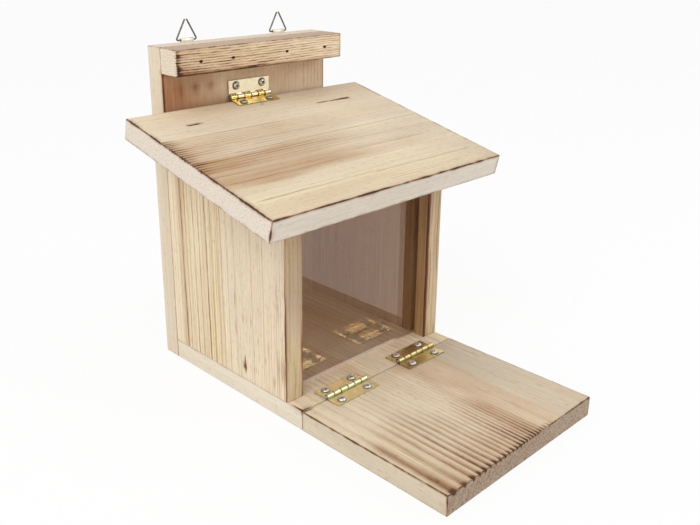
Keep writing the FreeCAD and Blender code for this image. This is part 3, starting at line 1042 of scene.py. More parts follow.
@dataclass
class RoofBoard(Board):
    """The roof, toasted across its middle and burnt like a comb at its left edge."""

    def relief(self) -> Array:
        """Return the brush's cut: deep at the left edge's comb, and shallow elsewhere."""
        comb = np.exp(-self.u / 13) * window(self.v, 44, 84, 6)
        return 0.5 * comb * self.valley + super().relief()

    def paint(self) -> Paint:
        """Colour the roof.

        The ring lines are strongest in the comb's rows and at the front. The wood is rosy at
        the rear and in the middle, and yellow towards the front. A brown band below the rows
        fades to the right.

        Returns:
            Its colouring.
        """
        u, v, noise = self.u, self.v, self.noise
        rows = window(v, 46, 84, 8) * fade(u, 60, 200)
        below = window(v, 84, 110, 4) * fade(u, 80, 170)
        lines = 0.13 + 0.6 * rows + 0.22 * below + 0.8 * window(v, 141, 149, 2) * window(u, 112, 172, 12)

        grey, rosy, yellow = self.hues()
        grey = 0.7 * grey + 0.25 * ramp(u, 150, 205)
        middle = window(v, 55, 112, 14) * fade(u, 90, 190)
        rosy = 0.35 * rosy + 0.12 * fade(v, 8, 30) + 0.10 * middle
        yellow = 0.5 * yellow + 0.22 * (ramp(v, 108, 122) * (1 - 0.6 * ramp(u, 120, 200)))

        edge = v + 4 * noise(u / 40, 1.7)
        band = 0.66 * window(edge, 78, 108, 8) * fade(u, 60, 150)
        left = 0.3 * window(edge, 83, 106, 6) * fade(u, 10, 60)
        left = left + 0.3 * window(v, 98, 108, 6) * window(u, 45, 160, 30)
        fringe = window(v, 46, 80, 9) * (0.6 * np.exp(-u / 22) + 0.14 * window(u, 30, 120, 40))
        front = 0.3 * ramp(v, 146, 150) + 0.16 * window(v, 136, 146, 4)
        front = front + 0.18 * ramp(u, 110, 165) * fade(v, 16, 34)
        cloudy = 0.07 + 0.12 * noise(u / 45 + 2, v / 11)
        streaky = 0.85 + 0.16 * noise(u / 60, v / 2.3)
        toasted = cloudy + ((band + left + fringe) * streaky + front) * self.upper()
        return Paint(lines, grey, rosy, yellow, toasted, self.combed())

    def combed(self) -> Array:
        """Burn the comb's tips, which are long and short, and the rows beside it.

        Returns:
            How burnt each point is.
        """
        u, v = self.u, self.v
        reach = 17 + 10 * self.noise(v / 3.1, 6.5)
        comb = fade(u, 0, reach) ** 1.5 * window(v, 43, 86, 6) * (0.22 + 0.8 * self.valley)
        rows = 0.38 * window(v, 44, 86, 8) * fade(u, 40, 160) * self.valley
        return self.outward(0.88, 1.0) * (comb + rows * (0.6 + 0.6 * self.noise(u / 22, v / 5)))


@dataclass
class PlatformBoard(Board):
    """The platform, furrowed by the brush and burnt in its furrows towards the front.

    Attributes:
        furrowed: Where the furrows end across the board.
    """

    furrowed: float = 93.0

    def strength(self) -> Array:
        """Return how strong the furrows are across the board, wide rings more than narrow."""
        rings = np.clip(self.rings.width(self.v) / 5.5, 0.5, 1.5)
        return fade(self.v, self.furrowed - 3, self.furrowed + 4) * np.sqrt(rings)

    def start(self) -> Array:
        """Return how far from the rear the furrows' burn starts."""
        nearest = 36 + 0.25 * np.abs(self.v - 33) + 0.12 * np.maximum(self.v - 60, 0)
        return nearest + 16 * hump(self.v, 67, 9) + 9 * self.noise(self.v / 7, 4.0)

    def relief(self) -> Array:
        """Cut the furrows, deeper towards the front and deepest at its edge.

        Returns:
            The depth of the cut.
        """
        length = self.place.size[0]
        lip = ramp(self.u, length - 6, length)
        depth = 0.15 + 0.7 * ramp(self.u, 45, length) + 1.3 * lip
        return depth * self.strength() * self.valley + super().relief()

    def paint(self) -> Paint:
        """Colour the platform.

        It is grey at the far right and rosy where the furrows end, and toasted beside the
        furrows' burn, over their right end and at the left.

        Returns:
            Its colouring.
        """
        u, v, noise = self.u, self.v, self.noise
        grey, rosy, yellow = self.hues()
        grey = 0.5 * grey + ramp(v, 108, 124) * (0.9 - 0.22 * ramp(u, 30, 90))
        pink = 0.35 * hump(v, 105, 2.0) * fade(u, 22, 34) + 0.35 * hump(v, 116, 1.3) * window(u, 18, 44, 8)
        rosy = 0.4 * rosy + 0.2 * window(v, 86, 112, 8) + pink

        start = self.start()
        front = ramp(u, start - 4, start + 22) * fade(v, 92, 98)
        right = 0.42 * window(v, 86, 114, 9) * (0.7 + 0.5 * noise(u / 26, v / 7))
        right = right * (1 - 0.35 * ramp(u, 60, 110))
        stain = 0.36 * hump(v, 6.0, 3.2) * window(u, 62, 112, 9)
        rear = 0.22 * fade(u, 6, 16) * ramp(v, 60, 80)
        lip = 0.25 * front * ramp(u, 85, 112)
        flamed = front * (0.16 + 0.45 * self.valley) + right + stain + rear + lip
        toasted = 0.04 + 0.1 * noise(u / 35, v / 12) + flamed * self.upper()
        return Paint(0.16 - 0.08 * ramp(v, 94, 104), grey, rosy, 0.5 * yellow, toasted, self.charred(start))

    def charred(self, start: Array) -> Array:
        """Burn the furrows, unevenly along and from one to the next.

        Args:
            start: How far from the rear the burn starts.

        Returns:
            How burnt each point is.
        """
        u, v, length = self.u, self.v, self.place.size[0]
        fade_in = ramp(u, start - 6, start + 42)
        ring = 0.8 + 0.4 * self.noise(np.round(self.rings.phase(v)) * 3.7, 0.5)
        uneven = ring * (0.9 + 0.3 * self.noise(u / 16, v / 5) + 0.2 * self.noise(u / 2.2, v / 1.1))
        strong = 0.38 + 0.17 * hump(v, 35, 10) + 0.10 * hump(v, 84, 9) + 0.40 * ramp(u, 86, length)
        furrows = fade_in * fade(v, self.furrowed, self.furrowed + 4) * self.valley ** 0.5
        faint = 0.10 * self.valley * window(v, 8, 88, 6) * (1 - fade_in)
        lip = ramp(u, length - 5, length - 0.8) * (0.1 + 1.0 * self.valley ** 0.8) * fade(v, 96, 108)
        corner = 1.1 * fade(u, 0.5, 1.9) * fade(v, 3, 12) * ramp(self.w, 11, 13)
        stain = 0.24 * hump(v, 5.5 + 0.02 * (u - 60), 2.4) * window(u, 66, 112, 9) * uneven
        return (furrows * uneven * strong + faint + lip + stain) * self.upper() + corner


@dataclass
class SideBoard(Board):
    """A side board with a sloping top and the window's groove on its inner face.

    Attributes:
        slope: The angle of its top.
        groove: Where its groove starts and ends across the board.
        groove_depth: How deep the groove is.
        streaks: How strong the dark lines on its front edge are.
        dark_to: How far up the front edge's inner arris is dark.
    """

    slope: float = 0.0
    groove: tuple[float, float] = (0.0, 0.0)
    groove_depth: float = 5.0
    streaks: float = 0.5
    dark_to: float = 60.0

    def walls(self) -> tuple[float, ...]:
        """Return the places of the groove's two walls."""
        return self.groove

    def shaped(self, height: Array) -> Array:
        """Slope the top: u is scaled by 1 - v * tan(slope) / length.

        Args:
            height: The points' heights.

        Returns:
            The points, as rows of (u, v, w).
        """
        moved = super().shaped(height)
        drop = np.clip(self.v, 0, None) * math.tan(self.slope) / self.place.size[0]
        moved[:, 0] *= 1 - drop
        return moved

    def inner_relief(self) -> Array:
        """Return the groove's depth on top of the usual relief."""
        inside = (self.v > self.groove[0]) & (self.v < self.groove[1])
        return super().inner_relief() + self.groove_depth * inside

    def golden(self) -> Array:
        """Return 1 on the lower part of the front edge and 0 away from it."""
        across = self.place.size[1]
        return ramp(self.v, across - 1.0, across - 0.4) * fade(self.u, 40, 95)

    def marks(self) -> dict[str, Array]:
        """Gather what the mesh carries, with golden wood low on the front edge.

        Returns:
            The values of each point, by the attribute's name.
        """
        carried = super().marks()
        golden = self.golden()
        carried["marks"][:, 0] += golden * (0.4 - carried["marks"][:, 0])
        carried["marks"][:, 3] *= 1 - 0.8 * golden
        return carried

    def paint(self) -> Paint:
        """Colour the side: yellow in its rear half, and grey and rosy in its front half.

        The toast is light in the rear half; on the inner face it is painted shade, darkest from the groove
        forward.

        Returns:
            Its colouring.
        """
        u, v, w, noise = self.u, self.v, self.w, self.noise
        grey, rosy, yellow = self.hues()
        front = ramp(v, 56, 72)
        low = 0.3 * fade(u, 20, 90)
        grey = 0.3 * grey + front * (0.5 + 0.4 * ramp(noise(u / 30, v / 2.1), 0.0, 0.9) - low)
        rosy = 0.5 * rosy + 0.35 * hump(v, 14, 4) + 0.35 * hump(v, 57, 2.5) + 0.04 * front
        rear = 0.4 * window(v, 18, 58, 6) * (0.6 + 0.5 * noise(u / 90, v / 3.4))
        gold = self.golden() * (0.6 + 0.6 * noise(u / 13, w / 4))
        yellow = 0.5 * yellow + rear + 0.05 * front + gold

        toast = 0.14 * (ramp(v, 8, 16) * fade(v, 50, 66)) * (0.5 + 0.8 * noise(u / 80, v / 2.6))
        # painted shade: the inner face, inside the box and beside the window, is darkened as toast
        inner = 1 - self.outward(0.1, 0.4)
        jamb_shade = 0.6 * inner * ramp(v, self.groove[0] - 4, self.groove[1])
        toasted = 0.02 + toast + 0.05 * noise(u / 30, v / 4) + 0.9 * inner + jamb_shade
        return Paint(0.62 - 0.16 * ramp(v, 50, 68), grey, rosy, yellow, toasted, self.streaked_and_shaded())

    def streaked_and_shaded(self) -> Array:
        """Burn brown lines in the rear half and short streaks in front, and paint shade into the groove and
        over the inner face beside it.

        Returns:
            How burnt each point is.
        """
        u, v, noise = self.u, self.v, self.noise
        across = self.place.size[1]
        rear = ramp(v, 6, 14) * fade(v, 52, 64)
        rings = self.valley * (0.14 * rear + 0.05) * (0.5 + 0.6 * noise(u / 32, v / 3))
        broken = ramp(noise(u / 26 + 4, v / 1.2), -0.1, 0.8)
        front = 0.35 * window(v, 116, 124, 2) * fade(u, 50, 112) * broken
        waver = 0.3 * noise(u / 9, 5.1)
        arris = 1.3 * hump(v, across - 0.9 + waver, 0.5) * (0.8 - 0.5 * ramp(u, 60, 140))
        dashes = 0.34 * ramp(noise(u / 13 + 40, v / 0.8), 0.5, 0.95) * ramp(v, 58, 72)
        dashes = np.maximum(dashes * (0.6 + 0.5 * noise(u / 30 + 3, v / 20)), 0)
        # painted shade in the groove and on the inner face behind and in front of it
        inner = 1 - self.outward(0.05, 0.3)
        start, end = self.groove
        groove = 0.42 * inner * window(v, start, end, 0.6)
        jamb_shade = 0.42 * ramp(v, end, end + 1) * (0.8 + 0.4 * noise(u / 40, v / 1.5))
        wall = 0.28 * fade(v, start - 3, start) * (0.9 + 0.3 * noise(u / 50, v / 5))
        return rings + self.outward(0.8, 1.0) * (front + arris + dashes) + groove + inner * (jamb_shade + wall)

    def edge_lines(self) -> Array:
        """Burn the lines on the front edge, dark and wavy by the inner arris lower down.

        Returns:
            How burnt each point is.
        """
        u, w, noise = self.u, self.w, self.noise
        across, through = self.place.size[1:]
        waver = 0.7 * noise(u / 17, 2.2) + 0.3 * noise(u / 5, 7.7)
        edge = ramp(self.v, across - 1.5 + 0.5 * waver, across - 0.6)
        low = 1 - 0.85 * ramp(u, self.dark_to - 20, self.dark_to + 20)
        inner = (0.6 + 0.15 * self.streaks) * low * hump(w, 0.3 + 0.8 * waver, 1.1 + 0.5 * self.streaks)
        outer = (0.4 - 0.25 * ramp(u, 60, 140)) * hump(w, through - 0.1, 0.4 + 0.2 * waver)
        streaks = self.streaks * sum(
            dark * hump(w, through - inset + waver, 0.45) * ramp(noise(u / 24, inset), -0.7, 0.4)
            for inset, dark in ((3.2, 0.55), (6.3, 0.25), (10.2, 0.42))
        )
        return edge * (inner + outer + streaks)


@dataclass
class BackBoard(Board):
    """The back board, reddish where the flame met it under the batten.

    Attributes:
        knots: The round scorched spots on its front, as (up, across, darkness).
    """

    knots: tuple[tuple[float, float, float], ...] = ()

    def paint(self) -> Paint:
        """Colour the back board: rosy and toasted above the roof, darkened with painted shade on its front
        inside the box, and light elsewhere.

        Returns:
            Its colouring.
        """
        u, v, noise = self.u, self.v, self.noise
        face = self.outward(0.8, 1.0)
        above = window(u, 184, 214, 4) * face
        left = fade(v, 24, 64)
        low = fade(u, 186, 206) * left
        patch = above * (0.22 + 0.36 * left + 0.25 * low + 0.45 * noise(u / 11, v / 12))
        patch = patch * (1 - 0.5 * ramp(v, 60, 110))
        # painted shade: the front face below the roof, inside the box, is darkened as toast
        inside = 0.8 * face * fade(u, 176, 184)
        toasted = 0.10 + 0.1 * noise(u / 45, v / 8) + patch + inside
        lines = 0.42 - 0.38 * window(u, 184, 214, 3)
        grey, rosy, yellow = self.hues()
        return Paint(lines, grey * (1 - above), 0.5 * rosy + 0.3 * above, yellow * (1 - above),
                     toasted, self.scorched(face))

    def scorched(self, face: Array) -> Array:
        """Burn the red scorch at the left, the knots and the faint ring lines, and paint the shadow under
        the batten.

        Args:
            face: 1 on the front face and 0 behind it.

        Returns:
            How burnt each point is.
        """
        u, v = self.u, self.v
        scorch = 0.42 * hump(v, 8, 17) * hump(u, 194, 14) + 0.7 * hump(v, 0.7, 1.3) * window(u, 180, 212, 3)
        scorch = scorch + 0.6 * hump(v, self.place.size[1] - 0.7, 1.0) * window(u, 186, 212, 3)
        # painted shadow under the batten
        shade = 0.55 * ramp(u, 209, 212.5) * window(u, 180, 214, 2)
        knots = sum(depth * np.exp(-((u - up) ** 2 + (v - right) ** 2) / 15.0)
                    for up, right, depth in self.knots)
        right_lines = 0.16 * window(v, 128, 146, 3) * self.valley * window(u, 192, 212, 3)
        lines = 0.12 * self.valley * (0.5 + 0.5 * self.noise(u / 25, v / 4))
        return face * (scorch + shade + knots + right_lines) + lines


@dataclass
class FloorBoard(Board):
    """The floor board, whose front lip is brushed like the platform.

    Attributes:
        lip: How far it stands out in front of the sides.
    """

    lip: float = 14.0

    def relief(self) -> Array:
        """Return the brush's cut on the lip and the plain cut behind it."""
        front = ramp(self.u, self.place.size[0] - self.lip - 6, self.place.size[0] - self.lip)
        return (0.06 + 0.1 * front) * self.valley + super().relief()

    def paint(self) -> Paint:
        """Colour the floor: a little darker inside the box, as painted shade, and singed at its left corner.

        Returns:
            Its colouring.
        """
        u, v, length = self.u, self.v, self.place.size[0]
        # painted shade: a little more toast inside the box, behind the lip
        inside = fade(u, length - self.lip - 14, length - self.lip - 8)
        toasted = 0.03 + 0.08 * self.noise(u / 30, v / 12) + 0.03 * inside
        lines = 0.16 * self.valley * (0.6 + 0.4 * self.noise(u / 16, v / 5))
        upper = self.outward(0.7, 0.95)
        corner = 0.95 * upper * hump(v, 0.5, 1.2) * ramp(u, length - self.lip, length - 5)
        seam = 1.1 * upper * ramp(u, length - 1.9, length - 0.5) * fade(v, 3, 12)
        return Paint(0.28, *self.hues(), toasted, lines + corner + seam)


@dataclass
class Batten(Board):
    """The batten, brushed into deep ragged furrows."""

    def waves(self) -> Array:
        """Return how far the furrows wander as they go."""
        return 0.5 * self.noise(self.u / 34, self.v / 9 + 2) + 0.16 * self.noise(self.u / 5 + 9, self.v / 3)

    def relief(self) -> Array:
        """Cut the furrows, ragged along their way and deeper at the left end.

        Returns:
            The depth of the cut.
        """
        u, v, noise = self.u, self.v, self.noise
        ragged = np.clip(0.85 + 0.55 * noise(u / 6, v / 1.4) + 0.35 * noise(u / 1.9 + 8, v / 0.7), 0.1, 1.6)
        fibres = 0.12 * (1 + noise(u / 3.1 + 21, v / 0.5))
        return (0.34 + 1.3 * np.exp(-u / 3.0)) * self.valley ** 0.8 * ragged + fibres

    def paint(self) -> Paint:
        """Colour the batten: yellow in front, with a rosy and browner top.

        Its left end and lower edge are toasted.

        Returns:
            Its colouring.
        """
        u, v, noise = self.u, self.v, self.noise
        across = self.place.size[1]
        face = self.outward(0.85, 1.0)
        top = ramp(v, across - 1.0, across) * (1 - face)
        gold = 0.35 * face * (0.6 + 0.6 * noise(u / 24, v / 4)) * fade(u, 70, 130)
        low = face * fade(v, 1.5, 9.0) * (1 - 0.75 * ramp(u, 50, 130))
        left = face * np.exp(-u / 38)
        toasted = 0.02 + 0.1 * noise(u / 30, v / 4) + 0.42 * top + 0.5 * low + 0.55 * left
        return Paint(0.4, 0.1 * top, 0.55 * top + 0.15 * (1 - top), gold, toasted, self.furrowed(face))

    def furrowed(self, face: Array) -> Array:
        """Burn the furrows, the lower edge, the ends and the upper left corner.

        Args:
            face: 1 on the front face and 0 behind it.

        Returns:
            How burnt each point is.
        """
        u, v, noise = self.u, self.v, self.noise
        length, across, _ = self.place.size
        uneven = np.clip(0.6 + 0.75 * noise(u / 8, v / 1.3) + 0.35 * noise(u / 1.6, v / 0.8), 0, 1.4)
        lower = 0.35 * fade(v, 2, 9) * (1 - 0.6 * ramp(u, 30, 130))
        furrows = (0.85 - 0.4 * ramp(u, 50, 140) + lower) * self.valley ** 1.1 * uneven
        teeth = np.exp(-(u / (3.4 + 1.8 * noise(v / 1.6, 9.2))) ** 2)
        teeth = 1.1 * teeth * (0.45 + 0.7 * ramp(noise(v / 2.3, 2.6), -0.3, 0.4))
        right = 0.8 * np.exp(-(length - u) / 0.7)
        corner = 0.6 * np.exp(-(across - v) / 0.8) * np.exp(-u / 30)
        low = 1.05 * fade(v, 0.3, 2.5 + 2.5 * np.exp(-u / 12)) * (0.92 + 0.3 * noise(u / 9 + 2, 1.5))
        low = low * (1 - 0.6 * ramp(u, 80, 130))
        end = (1 - face) * fade(u, 0.3, 1.0) * 0.42 * self.valley * (0.6 + 0.5 * noise(self.w / 4, v / 2))
        return face * (furrows + teeth + right + corner + low) + end


@dataclass
class Window:
    """The clear pane, with eased edges and frost on its sawn sides.

    Attributes:
        finish: Its clear sheet.
        ease: The radius of its edges.
        frost_reach: How far the frost of the lower edge shows on the faces.
        frost_end: Where that ends on the right.
        steps: The grid's steps along X, Y and Z.
    """

    finish: ClearSheet
    ease: float = 0.3
    frost_reach: float = 1.25
    frost_end: float = 46.0
    steps: tuple[float, float, float] = (8.0, 1.2, 8.0)

    def build(self) -> None:
        """Make the pane. A point is frosted where it is within the ease of a sawn side."""
        low, high = node_box("window_pane")
        size = high - low
        sharp, faces = box_shell([stations(length, step) for length, step in zip(size, self.steps)])
        points = softened(sharp, size, self.ease)
        across = np.minimum(points[:, 0], size[0] - points[:, 0])
        up = np.minimum(points[:, 2], size[2] - points[:, 2])
        sawn = np.maximum(fade(up, 0.1, 0.35), 0.2 * fade(across, 0.1, 0.35))
        bottom = 0.75 * fade(points[:, 2], self.frost_reach * 0.6, self.frost_reach)
        shown = 1 - 0.85 * ramp(points[:, 0] + low[0], self.frost_end - 4, self.frost_end + 2)
        frost = np.maximum(sawn, bottom) * shown
        piece = make_piece("clear_window_pane", points + low, [faces], {"frost": frost})
        settle(piece, self.finish.make(), Body.BOX, "window_pane")


@dataclass
class Shells:
    """Closed shells that are gathered into one mesh, with the painted shade and soil that darkens them."""

    points: list[Array] = field(default_factory=list)
    faces: list[Array] = field(default_factory=list)
    shade_and_soil: list[Array] = field(default_factory=list)
    count: int = 0

    def add(self, points: Array, faces: Sequence[Array], shade_and_soil: Array, mirrored: bool = False) -> None:
        """Add a shell.

        Args:
            points, faces: Its points and its groups of faces.
            shade_and_soil: How much painted shade and soil darkens each point.
            mirrored: Whether its directions are left-handed, so that its faces are turned over.
        """
        self.faces += [(group[:, ::-1] if mirrored else group) + self.count for group in faces]
        self.points.append(points)
        self.shade_and_soil.append(shade_and_soil)
        self.count += len(points)

    def make(self, name: str) -> bpy.types.Object:
        """Return the piece made of all the shells."""
        marks = {"shade_and_soil": np.clip(np.concatenate(self.shade_and_soil), 0, 1)}
        return make_piece(name, np.concatenate(self.points), self.faces, marks)


def ribbon(middle: Array, half: float, spans: Array, insets: Array) -> tuple[Array, list[Array]]:
    """Return a thick strip that follows a line and runs along the first axis.

    Args:
        middle: The line in the plane of the other two axes, one row for each point.
        half: Half of the strip's thickness.
        spans: The places along the first axis, one for each section.
        insets: How much each section is drawn in, for an eased rim.

    Returns:
        The points, and the faces in groups. A section is the line moved by half along its
        normal one way and then, backwards, the other way.
    """
    tangent = directions(middle)
    normal = np.stack([-tangent[:, 1], tangent[:, 0]], axis=-1)
    sections = []
    for span, inset in zip(spans, insets):
        line = middle.copy()
        line[0] += tangent[0] * inset
        line[-1] -= tangent[-1] * inset
        thick = half - inset
        loop = np.concatenate([line + normal * thick, (line - normal * thick)[::-1]])
        sections.append(np.column_stack([np.full(len(loop), span), loop]))
    count = len(sections[0])
    points = np.concatenate(sections)
    grid = np.arange(len(points)).reshape(len(sections), count)
    closed = np.concatenate([grid, grid[:, :1]], axis=1)
    strip = np.stack([np.arange(count // 2), count - 1 - np.arange(count // 2)])
    first = quads(strip)
    last = first[:, ::-1] + grid[-1, 0]
    return points, [quads(closed)[:, ::-1], first[:, ::-1], last[:, ::-1]]


def directions(line: Array) -> Array:
    """Return the unit direction of a line at each of its points."""
    tangent = np.gradient(line, axis=0)
    return tangent / np.linalg.norm(tangent, axis=1, keepdims=True)


def capped(loops: Array, first: Direction, last: Direction) -> tuple[Array, list[Array]]:
    """Close a stack of loops with a point at each end.

    Args:
        loops: The loops, by their points, by X, Y and Z.
        first, last: The two end points.

    Returns:
        The points, and the faces in groups.
    """
    count = loops.shape[1]
    grid = np.arange(loops[..., 0].size).reshape(-1, count)
    closed = np.concatenate([grid, grid[:, :1]], axis=1)
    start = np.column_stack([closed[0, 1:], closed[0, :-1], np.full(count, grid.size)])
    end = np.column_stack([closed[-1, :-1], closed[-1, 1:], np.full(count, grid.size + 1)])
    return np.concatenate([loops.reshape(-1, 3), [first, last]]), [quads(closed)[:, ::-1], start, end]


def spun(profile: Array, count: int) -> tuple[Array, list[Array]]:
    """Return a closed shell turned about the third axis.

    Args:
        profile: Rows of (radius, height), from a point on the axis to another on it.
        count: How many steps the circle has.

    Returns:
        The points, (radius * cos a, radius * sin a, height) for each angle a, with one point
        at each pole, and the faces in groups.
    """
    angle = np.arange(count) * 2 * np.pi / count
    radius, height = profile[1:-1].T
    loops = (np.outer(radius, np.cos(angle)), np.outer(radius, np.sin(angle)),
             np.outer(height, np.ones(count)))
    return capped(np.stack(loops, axis=-1), (0, 0, profile[0, 1]), (0, 0, profile[-1, 1]))


@dataclass(frozen=True)
class PanScrew:
    """A pan-head screw with a cross in its head and a thread on its shank.

    Attributes:
        head, height, rim: The head's radius and height, and the height of its rim.
        shank, length, tip: The shank's radius, its length and the length of its point.
        arm, arm_half, recess: The cross's reach, half its width, and its depth.
        pitch, thread: The thread's pitch and height.
    """

    head: float = 2.8
    height: float = 1.9
    rim: float = 0.7
    shank: float = 1.25
    length: float = 10.0
    tip: float = 2.0
    arm: float = 1.6
    arm_half: float = 0.42
    recess: float = 1.0
    pitch: float = 1.2
    thread: float = 0.28

    def profile(self) -> Array:
        """Draw the screw's outline without its thread and cross.

        The head's top is the circle through its rim and its middle.

        Returns:
            Rows of (radius, height), from the tip to the middle of the head.
        """
        crown = self.height - self.rim
        dome = (self.head ** 2 + crown ** 2) / (2 * crown)
        out = np.linspace(0.985, 0.02, 22) * self.head
        top = np.column_stack([out, self.height - dome + np.sqrt(dome ** 2 - out ** 2)])
        rows = round((self.length - 0.4) / self.pitch * 7)
        depth = np.linspace(-self.length + 0.15, -0.15, rows)
        shank = np.column_stack([(self.shank - self.thread) * self.slim(depth), depth])
        under = [(self.shank, 0.0), (self.head - 0.15, 0.0), (self.head, 0.12), (self.head, self.rim - 0.1)]
        return np.concatenate([[(0.0, -self.length)], shank, under, top, [(0.0, self.height)]])

    def slim(self, height: Array) -> Array:
        """Return how much of the shank's width is left at a height, less in its point."""
        return np.clip((height + self.length) / self.tip, 0.08, 1.0)

    def shell(self) -> tuple[Array, list[Array], Array]:
        """Shape the screw, which stands on z = 0 with its head above.

        The cross is sunk into its head. The shank's radius at height z and angle a is that of
        a saw tooth of z / pitch - a / turn.

        Returns:
            Its points, its faces in groups and its painted shade, darkest in the cross and on the head's
            rim.
        """
        points, faces = spun(self.profile(), 40)
        x, y, z = points.T
        turn = np.arctan2(y, x) / (2 * np.pi)
        wave = np.abs(((z / self.pitch - turn) % 1.0) * 2 - 1)
        threaded = (z < -0.2) & (z > -self.length)
        growth = np.where(threaded, self.thread * np.clip(1.6 * wave - 0.3, 0, 1), 0.0)
        widened = 1 + growth * self.slim(z) / np.maximum(np.hypot(x, y), 1e-6)
        x, y = x * widened, y * widened
        radius = np.hypot(x, y)
        arms = [
            fade(np.abs(side), self.arm_half * 0.75, self.arm_half * 1.35)
            * fade(np.abs(reach), self.arm * 0.72, self.arm * 1.08)
            for side, reach in ((x, y), (y, x))
        ]
        cross = np.maximum(*arms) * (z > self.rim)
        deep = self.recess * (1 - 0.45 * radius / self.arm)
        rim = ramp(radius, self.head * 0.8, self.head) * fade(z, 0.0, self.height * 0.6)
        outer = ramp(radius, self.head * 0.66, self.head * 0.92) * (z > 0)
        # painted shade in the cross's recess, on the head's side wall and round the edge of its top
        shade_and_soil = cross + np.maximum(0.9 * rim, 0.3 * outer)
        return np.column_stack([x, y, z - cross * deep]), faces, shade_and_soil


@dataclass
class Fixing:
    """Screws of one kind that hold one leaf or strap.

    Attributes:
        node: The node that they stand for.
        body: The body that they ride on.
        screw: The kind of screw.
        seats: Where their heads sit.
        out: The direction of their heads.
        seed: The seed of their turns and tilts.
        tilt: The largest tilt, in radians.
    """

    node: str
    body: Body
    screw: PanScrew
    seats: list[Array]
    out: Direction
    seed: int
    tilt: float = 0.05

    def build(self, metal: bpy.types.Material) -> None:
        """Make the screws, each turned and tilted a little in its own way.

        Args:
            metal: Their finish.
        """
        draw = np.random.default_rng(self.seed)
        shells = Shells()
        points, faces, shade_and_soil = self.screw.shell()
        aim = Vector(self.out).to_track_quat("Z", "Y").to_matrix()
        for seat in self.seats:
            spin = Matrix.Rotation(draw.uniform(0, np.pi), 3, "Z")
            lean = Matrix.Rotation(draw.uniform(-self.tilt, self.tilt), 3, "X")
            shells.add(points @ np.array(aim @ lean @ spin).T + seat, faces, shade_and_soil)
        settle(shells.make(f"plated_{self.node}"), metal, self.body, self.node)


